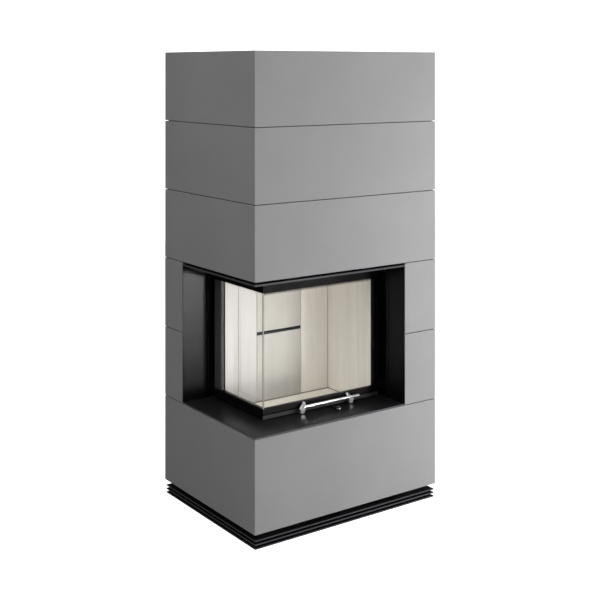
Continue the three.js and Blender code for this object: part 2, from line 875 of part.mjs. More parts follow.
// Flat lever: under the door, down in front of the firebox and back to the shutter.
const leverBottom = sillTop + seat
const leverTop = leverBottom + leverThickness
const leverFront = doorFront - leverReach
const leverDrop = sillEdgeFront + (bodyFront - sillEdgeFront - leverThickness) / 2
const leverLeft = leverPlace - leverWidth / 2
const leverRight = leverPlace + leverWidth / 2
add(
  'air_lever',
  join(
    box(leverLeft, leverRight, leverFront, leverDrop + leverThickness, leverBottom, leverTop),
    box(leverLeft, leverRight, leverDrop, leverDrop + leverThickness, shutterBottom, leverTop),
    box(leverLeft, leverRight, leverDrop, shutterFront - seat, shutterBottom, shutterTop),
  ),
  polishedSteel,
)
const knobY = leverFront + leverWidth / 2
const knobBottom = leverTop + seat
const knobRadius = knobDiameter / 2
const knobProfile = [
  [0, 0], [knobRadius - knobEdge, 0], [knobRadius, knobEdge], [knobRadius, knobHeight / 2 - knobGroove / 2],
  [knobRadius - knobGroove, knobHeight / 2], [knobRadius, knobHeight / 2 + knobGroove / 2],
  [knobRadius, knobHeight - knobEdge], [knobRadius - knobEdge, knobHeight], [0, knobHeight],
]
const knob = new THREE.LatheGeometry(outline(knobProfile), 32)
knob.rotateX(Math.PI / 2)
knob.translate(leverPlace, knobY, knobBottom)
add('air_lever_knob', knob, polishedSteel)

// ---------------------------------------------------------------- door frame and panes

const paneNear = lipThickness + glassPlay
const paneFar = paneNear + glassThickness
const rebateFar = paneFar + glassPlay

// L-shaped rail with a rebate that takes the panes' edge; `up` is 1 for a rebate in its upper side.
function rail(z0, z1, up) {
  const foot = up > 0 ? z1 - rebateDepth : z0 + rebateDepth
  const solidPart = up > 0 ? [z0, foot] : [foot, z1]
  const rebatePart = up > 0 ? [foot - 0.01, z1] : [z0, foot + 0.01]
  return join(
    cornerBand(0, doorDepth, ...solidPart),
    cornerBand(0, lipThickness, ...rebatePart),
    cornerBand(rebateFar, doorDepth, ...rebatePart),
  )
}
const lipTop = doorBottom + lipHeight
add(
  'door_rail_bottom',
  cut(
    join(
      rail(doorBottom, glassBottom, 1),
      cornerBand(-lipReach, doorDepth / 2, doorBottom, lipTop, { chamfer: lipChamfer }),
    ),
    cornerBand(-lipReach, lipGrooveDepth, lipTop, lipTop + lipGroove, {
      right: doorRight + 1,
      back: doorBack + 1,
    }),
  ),
  blackInside,
)
add('door_rail_top', rail(glassTop, doorTop, -1), blackInside)

const stileBottom = glassBottom + seat
const stileTop = glassTop - seat
const frontStileStart = doorRight - frontStileWidth
const sideStileStart = doorBack - sideStileWidth
add(
  'door_stile_front',
  prism(
    [
      [frontStileStart, doorFront], [doorRight, doorFront], [doorRight, doorInnerFront],
      [frontStileStart, doorInnerFront], [frontStileStart, doorFront + rebateFar],
      [frontStileStart + rebateDepth, doorFront + rebateFar],
      [frontStileStart + rebateDepth, doorFront + lipThickness], [frontStileStart, doorFront + lipThickness],
    ],
    stileBottom, stileTop,
  ),
  blackSteel,
)
add(
  'door_stile_side',
  prism(
    [
      [doorLeft, sideStileStart], [doorLeft + lipThickness, sideStileStart],
      [doorLeft + lipThickness, sideStileStart + rebateDepth],
      [doorLeft + rebateFar, sideStileStart + rebateDepth], [doorLeft + rebateFar, sideStileStart],
      [doorInnerLeft, sideStileStart], [doorInnerLeft, doorBack], [doorLeft, doorBack],
    ],
    stileBottom, stileTop,
  ),
  blackSteel,
)

const paneBottom = glassBottom - rebateDepth + seat
const paneTop = glassTop + rebateDepth - seat
const seamStart = paneNear
const seamEnd = paneNear + seamSize
add(
  'glass_front',
  box(doorLeft + seamEnd + seat, frontStileStart + rebateDepth - seat, doorFront + paneNear,
    doorFront + paneFar, paneBottom, paneTop),
  ceramicGlass,
)
add(
  'glass_side',
  box(doorLeft + paneNear, doorLeft + paneFar, doorFront + seamEnd + seat, sideStileStart + rebateDepth - seat,
    paneBottom, paneTop),
  ceramicGlass,
)
add(
  'glass_corner_seam',
  box(doorLeft + seamStart, doorLeft + paneFar, doorFront + seamStart, doorFront + paneFar,
    paneBottom, paneTop),
  ropeSeal,
)

// Rope seal behind the frame, where the closed door meets the firebox.
const sealNear = doorDepth + seat
const sealFar = sealNear + sealThickness
const sealBottom = doorBottom + sealEdge
const sealTop = doorTop - sealEdge
const sealRight = doorRight - sealEdgeRight
const sealBack = doorBack - sealEdge
add(
  'door_seal',
  join(
    cornerBand(sealNear, sealFar, sealBottom, sealBottom + sealWidth, { right: sealRight, back: sealBack }),
    cornerBand(sealNear, sealFar, sealTop - sealWidth, sealTop, { right: sealRight, back: sealBack }),
    box(sealRight - sealWidth, sealRight, doorFront + sealNear, doorFront + sealFar, sealBottom, sealTop),
    box(doorLeft + sealNear, doorLeft + sealFar, sealBack - sealWidth, sealBack, sealBottom, sealTop),
  ),
  ropeSeal,
)

// ---------------------------------------------------------------- door handle

const handleY = doorFront - handleReach
const handleZ = doorBottom + handleHeight
const handleRadius = handleDiameter / 2
add('handle_bar', rodAlongX(handleRadius, handleY, handleZ, handleStart, handleEnd, 20), polishedSteel)

// Bracket from a round foot on the rail down to a cradle under the rod.
function handleBracket(x, footShift) {
  const cradleTop = handleZ - handleRadius - seat - cradleFoot
  const cradleBottom = cradleTop - cradleDrop
  const footX = x + footShift
  const footZ = handleZ + postFootRise
  const postRadius = footDiameter / 2
  const points = []
  for (const side of [-1, 1]) {
    const topX = x + (side * postWidth) / 2
    const lowX = x + (side * postWidth) / 3
    points.push(new THREE.Vector3(topX, handleY - cradleLead, cradleTop))
    points.push(new THREE.Vector3(topX, handleY - cradleLead + cradleThickness, cradleTop + postEdge))
    points.push(new THREE.Vector3(lowX, handleY + cradleTaper / 2, cradleBottom))
    points.push(new THREE.Vector3(lowX, handleY + cradleThickness - cradleTaper, cradleBottom))
  }
  const hullFront = doorFront - seat - footDepth
  for (let i = 0; i < postSides; i++) {
    const turn = (2 * Math.PI * i) / postSides
    const px = footX + postRadius * Math.cos(turn)
    const pz = footZ + postRadius * Math.sin(turn)
    points.push(new THREE.Vector3(px, hullFront, pz))
    points.push(new THREE.Vector3(px, hullFront + postEdge, pz))
  }
  const foot = rodAlongY(postRadius, footX, footZ, hullFront + 1, doorFront - seat, postSides)
  const clearance = rodAlongX(handleRadius + seat, handleY, handleZ, x - postWidth * 2, x + postWidth * 2, 20)
  return cut(join(new ConvexGeometry(points), foot), clearance)
}
add('handle_bracket_left', handleBracket(handleStart + postOffsetStart, postFootLeft), polishedSteel)
add('handle_bracket_right', handleBracket(handleEnd + postOffsetEnd, postFootRight), polishedSteel)

// ---------------------------------------------------------------- guide rails and door carriages

const railBottom = sillTop + seat

// C-section open towards the opening; drawn with its slot from a to b along s and its depth along t.
function channelPlan(a, b, front, toPoint) {
  const s0 = a - guideLip
  const s1 = b + guideLip
  const back = front + guideDepth
  const g = guideSheet
  return [
    [s0, front], [a, front], [a, front + g], [s0 + g, front + g], [s0 + g, back - g], [s1 - g, back - g],
    [s1 - g, front + g], [b, front + g], [b, front], [s1, front], [s1, back], [s0, back],
  ].map(([s, t]) => toPoint(s, t))
}
const alongX = (s, t) => [s, t]
const alongY = (s, t) => [t, s]
const leftChannel = channelPlan(leftSlotStart, leftSlotEnd, backReveal, alongX)
const rightChannel = channelPlan(rightSlotStart, rightSlotEnd, rightReveal, alongY).reverse()
add('guide_rail_left', prism(leftChannel, railBottom, guideTop), blackSteel)
add('guide_rail_right', prism(rightChannel, railBottom, guideTop), blackSteel)

// Box whose plan is given along s and t, so that the left and right lifting gear share one drawing.
function stBox(side, s0, s1, t0, t1, z0, z1) {
  return side === 'left' ? box(s0, s1, t0, t1, z0, z1) : box(t0, t1, s0, s1, z0, z1)
}
const sides = [
  {
    side: 'left', slot: [leftSlotStart, leftSlotEnd], leaf: [doorLeft, doorInnerLeft],
    front: backReveal, doorEnd: doorBack, beyond: innerBack,
  },
  {
    side: 'right', slot: [rightSlotStart, rightSlotEnd], leaf: [doorFront, doorInnerFront],
    front: rightReveal, doorEnd: doorRight, beyond: innerRight,
  },
]
const shoeBottom = doorBottom + shoeLift
const shoeTop = doorTop - shoeLift
for (const gear of sides) {
  const [s0, s1] = gear.slot
  const leafMiddle = (gear.leaf[0] + gear.leaf[1]) / 2
  const channelInside = [s0 - guideLip + guideSheet + shoePlay, s1 + guideLip - guideSheet - shoePlay]
  const shoeFront = gear.front + guideSheet + shoePlay
  const shoeBack = gear.front + guideDepth - guideSheet - shoePlay
  const ropeT = (shoeFront + shoeBack) / 2
  const ropeS = (channelInside[0] + channelInside[1]) / 2
  const levels = [[shoeBottom, shoeBottom + shoeHeight], [shoeTop - shoeHeight, shoeTop]]

  // Sliding shoes on a strap, with an arm through the slot to the end of the door's leaf at each shoe.
  add(
    `door_carriage_${gear.side}`,
    join(
      ...levels.flatMap(([z0, z1]) => [
        stBox(gear.side, ...channelInside, shoeFront, shoeBack, z0, z1),
        stBox(gear.side, leafMiddle - armThickness / 2, leafMiddle + armThickness / 2, gear.doorEnd + seat,
          shoeFront + 1, z0, z1),
      ]),
      stBox(gear.side, leafMiddle - strapThickness, leafMiddle + strapThickness, ropeT - strapThickness / 2,
        ropeT + strapThickness / 2, shoeBottom + 1, shoeTop - 1),
    ),
    galvanised,
  )

  // Bracket on top of the rail: a plate that reaches the cast wall, and two cheeks that hold the axle.
  const axleT = ropeT + sheaveRadius
  const plateBottom = guideTop + seat
  const plateTop = plateBottom + bracketPlate
  const cheekNear = sheaveWidth / 2 + cheekGap
  const cheekFar = cheekNear + cheekThickness
  const axleZ = sheaveHeight
  const cheekTop = axleZ + cheekWidth / 2
  const weightT = axleT + sheaveRadius
  const hole = ropeHole / 2
  const axleHoles = stRodAlongS(
    gear.side, axleRadius + axlePlay, axleT, axleZ, ropeS - axleLength, ropeS + axleLength, 24,
  )
  add(
    `pulley_bracket_${gear.side}`,
    cut(
      join(
        stBox(gear.side, s0 - guideLip, s1 + guideLip, gear.front, gear.beyond, plateBottom, plateTop),
        ...[-1, 1].map((k) => stBox(gear.side, ropeS + Math.min(k * cheekNear, k * cheekFar),
          ropeS + Math.max(k * cheekNear, k * cheekFar), axleT - cheekWidth / 2, axleT + cheekWidth / 2,
          plateTop - 1, cheekTop)),
      ),
      ...[ropeT, weightT].map((t) => stBox(gear.side, ropeS - hole, ropeS + hole, t - hole, t + hole,
        plateBottom - 1, plateTop + 1)),
      axleHoles,
    ),
    galvanised,
  )
  add(
    `pulley_axle_${gear.side}`,
    stRodAlongS(gear.side, axleRadius, axleT, axleZ, ropeS - axleLength / 2, ropeS + axleLength / 2, 24),
    polishedSteel,
  )

  const w = sheaveWidth / 2
  const g = grooveWidth / 2
  const bore = axleRadius + axlePlay
  const grooveFloor = sheaveRadius - ropeDiameter / 2 - seat
  const sheaveProfile = [
    [bore, -w], [sheaveRim, -w], [sheaveRim, -g - grooveFlare], [grooveFloor, -g], [grooveFloor, g],
    [sheaveRim, g + grooveFlare], [sheaveRim, w], [bore, w], [bore, -w],
  ]
  const sheave = new THREE.LatheGeometry(outline(sheaveProfile), 32)
  if (gear.side === 'left') sheave.rotateZ(Math.PI / 2)
  sheave.translate(...stPoint(gear.side, ropeS, axleT, axleZ))
  add(`pulley_${gear.side}`, sheave, castIron)

  // Counterweight, and the rope's two straight runs on either side of the sheave.
  const weightTop = axleZ - weightHang
  add(
    `counterweight_${gear.side}`,
    stBox(gear.side, ropeS - weightWidth / 2, ropeS + weightWidth / 2, weightT - weightThickness / 2,
      weightT + weightThickness / 2, weightTop - weightHeight, weightTop),
    castIron,
  )
  const ropeRadius = ropeDiameter / 2
  const ropeToDoor = stUprightRod(gear.side, ropeRadius, ropeS, ropeT, shoeTop + seat, axleZ, ropeSides)
  const ropeToWeight = stUprightRod(gear.side, ropeRadius, ropeS, weightT, weightTop + seat, axleZ, ropeSides)
  add(`rope_door_${gear.side}`, ropeToDoor, galvanised)
  add(`rope_weight_${gear.side}`, ropeToWeight, galvanised)
}

// ---------------------------------------------------------------- top cover with hot-air slots

const coverTop = height - coverRecess
const coverHoleRadius = flueRadius + coverFlueGap
const coverHole = uprightRod(coverHoleRadius, flueX, flueY, coverTop - coverRim - 1, coverTop + 1, roundSides)
const vents = []
const ventStart = depth - ventBackInset - (ventRows - 1) * ventPitch
for (let row = 0; row < ventRows; row++) {
  const y = ventStart + row * ventPitch
  for (const x of [width / 4 - ventLength, (3 * width) / 4]) {
    vents.push(box(x, x + ventLength, y, y + ventWidth, coverTop - coverSheet - 1, coverTop + 1))
  }
}
add(
  'top_cover',
  cut(
    box(innerLeft, innerRight, innerFront, innerBack, coverTop - coverRim, coverTop),
    box(innerLeft + coverSheet, innerRight - coverSheet, innerFront + coverSheet, innerBack - coverSheet,
      coverTop - coverRim - 1, coverTop - coverSheet),
    coverHole,
    ...vents,
  ),
  blackInside,
)

export default fireplace
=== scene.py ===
# %% [markdown]
# # Corner fireplace
# A tall fireplace of cast stone with a glazed corner, whose glass door lifts behind the lintel. Its solids
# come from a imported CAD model, which is the frame of this scene. Blender could model them too, but the CAD
# solids carry the true sizes and the joints, so they keep their meshes and their places. This script
# dresses them: each solid gets its finish, the ropes, screws and bolts that are too fine for the solids are
# added, and a plain studio and the camera are set up round the whole.

# %% Load the frame
import json
import math

import bmesh
import bpy
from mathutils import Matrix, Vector


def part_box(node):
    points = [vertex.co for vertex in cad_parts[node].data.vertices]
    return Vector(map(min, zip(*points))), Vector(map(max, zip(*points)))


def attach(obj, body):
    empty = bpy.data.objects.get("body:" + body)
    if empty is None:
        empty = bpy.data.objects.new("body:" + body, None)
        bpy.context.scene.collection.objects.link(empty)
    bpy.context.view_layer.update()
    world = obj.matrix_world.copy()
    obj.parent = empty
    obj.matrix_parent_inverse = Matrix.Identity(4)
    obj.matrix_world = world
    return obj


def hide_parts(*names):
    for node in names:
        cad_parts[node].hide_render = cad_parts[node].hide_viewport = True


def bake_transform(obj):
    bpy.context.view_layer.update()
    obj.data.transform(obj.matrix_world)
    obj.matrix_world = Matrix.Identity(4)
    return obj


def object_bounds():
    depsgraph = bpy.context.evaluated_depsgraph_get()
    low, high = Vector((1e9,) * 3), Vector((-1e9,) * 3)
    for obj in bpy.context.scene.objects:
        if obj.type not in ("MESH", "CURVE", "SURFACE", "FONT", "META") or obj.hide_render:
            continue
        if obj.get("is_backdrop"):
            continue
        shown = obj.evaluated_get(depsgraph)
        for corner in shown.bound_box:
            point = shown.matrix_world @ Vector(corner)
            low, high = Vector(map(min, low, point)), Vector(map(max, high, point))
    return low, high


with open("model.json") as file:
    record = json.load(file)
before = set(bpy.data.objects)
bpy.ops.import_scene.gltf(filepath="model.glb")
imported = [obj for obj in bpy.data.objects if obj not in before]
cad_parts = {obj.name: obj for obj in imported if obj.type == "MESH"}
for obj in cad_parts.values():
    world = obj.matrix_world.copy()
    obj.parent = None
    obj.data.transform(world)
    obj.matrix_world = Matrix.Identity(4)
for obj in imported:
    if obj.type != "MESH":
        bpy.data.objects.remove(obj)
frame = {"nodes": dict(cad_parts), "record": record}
cad_low, cad_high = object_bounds()
MM = 0.001
scene = bpy.context.scene

# %% [markdown]
# A finish is a tree of shader nodes. It can be wired by hand in the shader editor, but a script wires it in
# the same way each time. Two small functions serve every tree here: one gives the inputs of a node their
# values or links, and one adds a node. Colours are written as sRGB hex values, as a colour chart has them,
# and turned into linear light once.

# %% Colours and nodes


def linear(code):
    """Linear RGBA of an sRGB hex colour."""
    values = [int(code[i : i + 2], 16) / 255 for i in (1, 3, 5)]
    return [v / 12.92 if v <= 0.04045 else ((v + 0.055) / 1.055) ** 2.4 for v in values] + [1.0]


def fill(tree, made, inputs):
    """Gives each named input a value, or a link from a socket or from a node's first output."""
    for key, value in inputs.items():
        if isinstance(value, bpy.types.Node):
            value = value.outputs[0]
        if isinstance(value, bpy.types.NodeSocket):
            tree.links.new(value, made.inputs[key])
        else:
            made.inputs[key].default_value = value


def node(tree, kind, inputs=None, stops=(), **settings):
    """Adds a node with its settings and inputs; `stops` are a colour ramp's two ends, as (place, hex)."""
    made = tree.nodes.new(kind)
    for name, value in settings.items():
        setattr(made, name, value)
    for i, (place, code) in enumerate(stops):
        made.color_ramp.elements[i].position = place
        made.color_ramp.elements[i].color = linear(code)
    fill(tree, made, inputs or {})
    return made


def new_material(name):
    """Material, its tree, and the Principled shader that is linked to its output."""
    material = bpy.data.materials.new(name)
    material.use_nodes = True
    tree = material.node_tree
    tree.nodes.clear()
    shader = node(tree, "ShaderNodeBsdfPrincipled")
    node(tree, "ShaderNodeOutputMaterial", {"Surface": shader})
    return material, tree, shader


print("sRGB mid grey as linear light:", round(linear("#808080")[0], 3))

# %% [markdown]
# A pattern has to know where it is on the real thing. It could follow an unwrapped UV map, but the frame's
# solids have none. Object coordinates need no unwrapping: they are metres from the middle of the floor under
# the fireplace, and every piece shares them, so a pattern runs on from one piece to the next. Widths of
# patterns are given in millimetres of the real surface and turned into the texture's scale.

# %% Places and widths

# Most values of a noise texture lie between these, so a span of them is mapped onto a finish's extremes.
NOISE_SPAN = {"From Min": 0.3, "From Max": 0.7}


def per_mm(width):
    """Scale of a texture whose features are to be about this many millimetres wide."""
    return 1000.0 / width


def object_coords(tree, stretch=None):
    """Object coordinates in metres. A stretch below 1 on an axis draws the pattern out along that axis."""
    coords = node(tree, "ShaderNodeTexCoord").outputs["Object"]
    if stretch is None:
        return coords
    return node(tree, "ShaderNodeMapping", {"Vector": coords, "Scale": stretch}).outputs["Vector"]


print("a 26 mm pattern has scale", round(per_mm(26), 2))

# %% [markdown]
# The cladding is cast stone: crushed stone bound with cement, poured into a mould and left matt. To the eye
# it is an even grey with a faint cloudy tone, sand grain and a few small pores. Pores could be cut into the
# mesh, but they are only half a millimetre deep and stand far apart, so a Voronoi texture darkens and dents
# the surface at the heart of each of its cells.

# %% Cast stone

# Millimetres. Sand and grit are drawn a few times coarser than the real grains, so that they show.
STONE_CLOUD = 420
STONE_SAND = 3.5
STONE_GRIT = 1.6
STONE_PORE_SPACING = 26

# Distances from the heart of a Voronoi cell, in cells, where a pore is deepest and where it ends.
PORE_BOTTOM = 0.03
PORE_RIM = 0.05


def cast_stone():
    """Cloudy and sandy grey with small dark pores."""
    material, tree, shader = new_material("cast_stone")
    coords = object_coords(tree)
    cloud = node(
        tree,
        "ShaderNodeTexNoise",
        {"Vector": coords, "Scale": per_mm(STONE_CLOUD), "Detail": 3, "Roughness": 0.6},
    )
    sand = node(
        tree,
        "ShaderNodeTexNoise",
        {"Vector": coords, "Scale": per_mm(STONE_SAND), "Detail": 2, "Roughness": 0.6},
    )
    grit = node(
        tree,
        "ShaderNodeTexNoise",
        {"Vector": coords, "Scale": per_mm(STONE_GRIT), "Detail": 3, "Roughness": 0.6},
    )
    tone = node(tree, "ShaderNodeValToRGB", {"Fac": cloud}, stops=[(0.3, "#7b7b7c"), (0.7, "#838384")])
    sandy = node(tree, "ShaderNodeValToRGB", {"Fac": sand}, stops=[(0.35, "#787879"), (0.65, "#868687")])
    face = node(tree, "ShaderNodeMix", {0: 0.35, 6: tone, 7: sandy}, data_type="RGBA").outputs[2]
    cell = node(tree, "ShaderNodeTexVoronoi", {"Vector": coords, "Scale": per_mm(STONE_PORE_SPACING)})
    pore = node(
        tree,
        "ShaderNodeMapRange",
        {"Value": cell.outputs["Distance"], "From Min": PORE_BOTTOM, "From Max": PORE_RIM, "To Min": 1.0,
         "To Max": 0.0},
    )
    shown = node(tree, "ShaderNodeMix", {0: pore, 6: face, 7: linear("#636364")}, data_type="RGBA").outputs[2]
    matt = node(tree, "ShaderNodeMapRange", {"Value": sand, **NOISE_SPAN, "To Min": 0.74, "To Max": 0.9})
    rough = node(tree, "ShaderNodeBump", {"Height": grit, "Distance": 0.12 * MM, "Strength": 0.5})
    depth = node(tree, "ShaderNodeMath", {0: 1.0, 1: pore}, operation="SUBTRACT")
    pitted = node(
        tree, "ShaderNodeBump", {"Height": depth, "Distance": 0.5 * MM, "Strength": 0.6, "Normal": rough}
    )
    fill(tree, shader, {"Base Color": shown, "Roughness": matt, "Specular IOR Level": 0.35, "Normal": pitted})
    return material


STONE = cast_stone()
print("stone", STONE.name, "with", len(STONE.node_tree.nodes), "nodes")

# %% [markdown]
# The firebox is lined with fireclay: clay and burnt grit, pressed into panels and fired. To the eye it is
# pale and dry, with soft upright streaks from pressing and a fine grain. The streaks are noise that is drawn
# out along the height. Panels that the lamps light too brightly get darker copies of the pale tones, as
# painted shade, and the floor a lighter copy, as painted light, so one function makes them all from pairs
# of tones. A thin dark line of painted shade runs where the walls stand on the floor and in the open corner
# joint: the shade of joints too fine to show it themselves. Such thin lines could be strips of mesh, but
# they have no thickness, so they are painted by place.

# %% Fireclay

# Millimetres. The grain is drawn coarser than the real one, so that it shows.
CLAY_STREAK = 24
CLAY_BROAD_STREAK = 110
CLAY_GRAIN = 2.4

STREAK_DRAWN = (1, 1, 0.05)
BROAD_STREAK_DRAWN = (1, 1, 0.12)
# Tone and height of the painted shade line along the foot of the walls and in the corner joint.
JOINT_SHADE_TONE = "#84766b"
SHADE_LINE_HEIGHT = 3 * MM
PANEL_LINE = 0.1 * MM
JOINT_LINE = 0.2 * MM
FLOOR_PANEL_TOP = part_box("lining_floor")[1][2]
CORNER_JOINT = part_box("lining_back_right")[0][1]


def fireclay(name, streak_tones, broad_tones, joint_from=None):
    """Pressed panel. Where it lies further back than `joint_from` it is inside an open joint, with painted
    shade.
    """
    material, tree, shader = new_material(name)
    coords = object_coords(tree)
    streak = node(
        tree,
        "ShaderNodeTexNoise",
        {"Vector": object_coords(tree, STREAK_DRAWN), "Scale": per_mm(CLAY_STREAK), "Detail": 3,
         "Roughness": 0.5},
    )
    wide = node(
        tree,
        "ShaderNodeTexNoise",
        {"Vector": object_coords(tree, BROAD_STREAK_DRAWN), "Scale": per_mm(CLAY_BROAD_STREAK), "Detail": 2,
         "Roughness": 0.5},
    )
    grain = node(
        tree,
        "ShaderNodeTexNoise",
        {"Vector": coords, "Scale": per_mm(CLAY_GRAIN), "Detail": 2, "Roughness": 0.6},
    )
    tone = node(tree, "ShaderNodeValToRGB", {"Fac": streak}, stops=zip((0.3, 0.7), streak_tones))
    broad = node(tree, "ShaderNodeValToRGB", {"Fac": wide}, stops=zip((0.3, 0.7), broad_tones))
    face = node(tree, "ShaderNodeMix", {0: 0.5, 6: tone, 7: broad}, data_type="RGBA").outputs[2]
    speck = node(tree, "ShaderNodeValToRGB", {"Fac": grain}, stops=[(0.4, "#d2c8ba"), (0.6, "#ffffff")])
    grained = node(
        tree, "ShaderNodeMix", {0: 0.12, 6: face, 7: speck}, data_type="RGBA", blend_type="MULTIPLY"
    ).outputs[2]
    place = node(tree, "ShaderNodeSeparateXYZ", {"Vector": coords}).outputs
    # Painted shade: a thin dark line at the foot of the walls, and in the open corner joint behind joint_from.
    foot = node(
        tree,
        "ShaderNodeMapRange",
        {"Value": place["Z"], "From Min": FLOOR_PANEL_TOP + SHADE_LINE_HEIGHT,
         "From Max": FLOOR_PANEL_TOP + 2 * SHADE_LINE_HEIGHT, "To Min": 1.0, "To Max": 0.0},
    )
    above = node(
        tree,
        "ShaderNodeMapRange",
        {"Value": place["Z"], "From Min": FLOOR_PANEL_TOP, "From Max": FLOOR_PANEL_TOP + PANEL_LINE},
    )
    joint_shade = node(tree, "ShaderNodeMath", {0: foot, 1: above}, operation="MULTIPLY")
    if joint_from is not None:
        deep = node(
            tree,
            "ShaderNodeMapRange",
            {"Value": place["Y"], "From Min": joint_from, "From Max": joint_from + JOINT_LINE},
        )
        joint_shade = node(tree, "ShaderNodeMath", {0: joint_shade, 1: deep}, operation="MAXIMUM")
    shown = node(tree, "ShaderNodeMix", {0: joint_shade, 6: grained, 7: linear(JOINT_SHADE_TONE)}, data_type="RGBA").outputs[2]
    dry = node(tree, "ShaderNodeMapRange", {"Value": grain, **NOISE_SPAN, "To Min": 0.8, "To Max": 0.92})
    fine = node(tree, "ShaderNodeBump", {"Height": grain, "Distance": 0.04 * MM, "Strength": 0.25})
    fill(tree, shader, {"Base Color": shown, "Roughness": dry, "Specular IOR Level": 0.3, "Normal": fine})
    return material


PALE_TONES = ("#e2dbd2", "#f0ebe4"), ("#e6ddd3", "#efebe3")
# Pale tones for most panels. The darker copies are painted shade for the back panels, and the lighter copy is
# painted light for the floor.
CLAY = fireclay("fireclay_panel", *PALE_TONES)
SHADED_WARM_CLAY = fireclay("shaded_warm_fireclay_panel", ("#b4aea7", "#bebbb5"), ("#b8b1a8", "#bdbab4"))
SHADED_GREY_CLAY = fireclay("shaded_grey_fireclay_panel", ("#bfbab7", "#ccc9c7"), ("#c2bbb7", "#cbc8c6"))
RIGHT_CLAY = fireclay("right_fireclay_panel", *PALE_TONES, CORNER_JOINT)
LIT_FLOOR_CLAY = fireclay("lit_floor_fireclay_panel", ("#ebe4db", "#f5f0e9"), ("#eee6dc", "#f4f0e9"))
print("fireclay lit_and_shaded_copies 5, shade line from", round(FLOOR_PANEL_TOP, 4), "m up")

# %% [markdown]
# The reveals, the guide rails and the frame of the plinth are steel with a black powder coat: plastic powder
# that melts to a skin in an oven. To the eye it is deep black with a soft sheen, faint wiping marks and the
# slight waviness that painters call orange peel. The waves could be real ones in the mesh, but they are a
# few hundredths of a millimetre high, so a bump on fine noise bends only the light. The function takes the
# gloss: a glossier copy on the left reveal is painted light, and a duller one on the right reveal is painted
# shade.

# %% Black powder coat

# Millimetres.
PEEL = 2.2
WIPE = 60

COAT_TONES = [(0.3, "#0b0b0c"), (0.7, "#101011")]
COAT_GLOSS = 0.14


def powder_coat(name, gloss):
    """Deep black with orange peel; `gloss` is how strongly it mirrors."""
    material, tree, shader = new_material(name)
    coords = object_coords(tree)
    peel = node(
        tree, "ShaderNodeTexNoise", {"Vector": coords, "Scale": per_mm(PEEL), "Detail": 2, "Roughness": 0.5}
    )
    wipe = node(
        tree, "ShaderNodeTexNoise", {"Vector": coords, "Scale": per_mm(WIPE), "Detail": 3, "Roughness": 0.6}
    )
    coat = node(tree, "ShaderNodeValToRGB", {"Fac": wipe}, stops=COAT_TONES)
    sheen = node(tree, "ShaderNodeMapRange", {"Value": wipe, **NOISE_SPAN, "To Min": 0.3, "To Max": 0.35})
    waves = node(tree, "ShaderNodeBump", {"Height": peel, "Distance": 0.03 * MM, "Strength": 0.35})
    fill(tree, shader, {"Base Color": coat, "Roughness": sheen, "Specular IOR Level": gloss, "Normal": waves})
    return material


BLACK = powder_coat("black_powder_coated_steel", COAT_GLOSS)
# Copies of one coat: the glossier one stands in for light on the left reveal, the duller one for shade on the
# right.
LIT_GLOSS_BLACK = powder_coat("lit_gloss_black_powder_coated_steel", 0.17)
SHADED_DULL_BLACK = powder_coat("shaded_dull_black_powder_coated_steel", 0.1)
print("powder coats", BLACK.name, LIT_GLOSS_BLACK.name, SHADED_DULL_BLACK.name)

# %% [markdown]
# The sill, the frame under the lintel and the fins of the plinth are satin black steel plates. To the eye
# they are dull on top and brighter along their upright edges, which catch the light; that brightness is a
# painted highlight in their colour. A mask for it could be painted by hand. Here the direction of the
# surface is enough: a plate's flat top faces up, its edges don't.

# %% Satin black plates

# Millimetres.
PLATE_CLOUD = 300

# How far up a face looks, from 0 for an upright edge to 1 for a flat top, where the painted highlight ends.
LIT_EDGE_BELOW = 0.6
DULL_ABOVE = 0.98


def satin_plate(name, lit_edge_tone):
    """Dull black on top, and of a lighter tone, a painted highlight, where the surface turns away from up."""
    material, tree, shader = new_material(name)
    cloud = node(
        tree,
        "ShaderNodeTexNoise",
        {"Vector": object_coords(tree), "Scale": per_mm(PLATE_CLOUD), "Detail": 2, "Roughness": 0.5},
    )
    normal = node(tree, "ShaderNodeNewGeometry").outputs["Normal"]
    upward = node(tree, "ShaderNodeSeparateXYZ", {"Vector": normal}).outputs["Z"]
    flat = node(tree, "ShaderNodeMapRange", {"Value": upward, "From Min": LIT_EDGE_BELOW, "From Max": DULL_ABOVE})
    plate = node(tree, "ShaderNodeValToRGB", {"Fac": cloud}, stops=[(0.3, "#171719"), (0.7, "#1e1e1f")])
    highlighted = node(tree, "ShaderNodeMix", {0: flat, 6: linear(lit_edge_tone), 7: plate}, data_type="RGBA").outputs[2]
    satin = node(tree, "ShaderNodeMapRange", {"Value": cloud, **NOISE_SPAN, "To Min": 0.27, "To Max": 0.31})
    fill(tree, shader, {"Base Color": highlighted, "Roughness": satin, "Specular IOR Level": 0.04})
    return material


# The edge tones are painted highlights on the upright faces.
SILL = satin_plate("black_satin_sill", "#55565a")
LEDGE = satin_plate("black_satin_support_frame", "#3e3f42")
FIN = satin_plate("black_satin_fin", "#47474a")
print("satin plates", SILL.name, LEDGE.name, FIN.name)

# %% [markdown]
# The firebox, the smoke dome, the flue pipe, the stand and most of the door's frame have heat-resistant
# paint: silicone paint that the first fires bake on. To the eye it is matt and a little dusty, with a fine
# grain. It could be the powder coat with more roughness, but dust lies in wide patches. So there are two
# noises, a wide one for the dust and a fine one for the grain, and the tones make it black or dark grey.

# %% Heat-resistant paint

# Millimetres. The grain is drawn coarser than the real one, so that it shows.
PAINT_DUST = 140
PAINT_GRAIN = 1.2


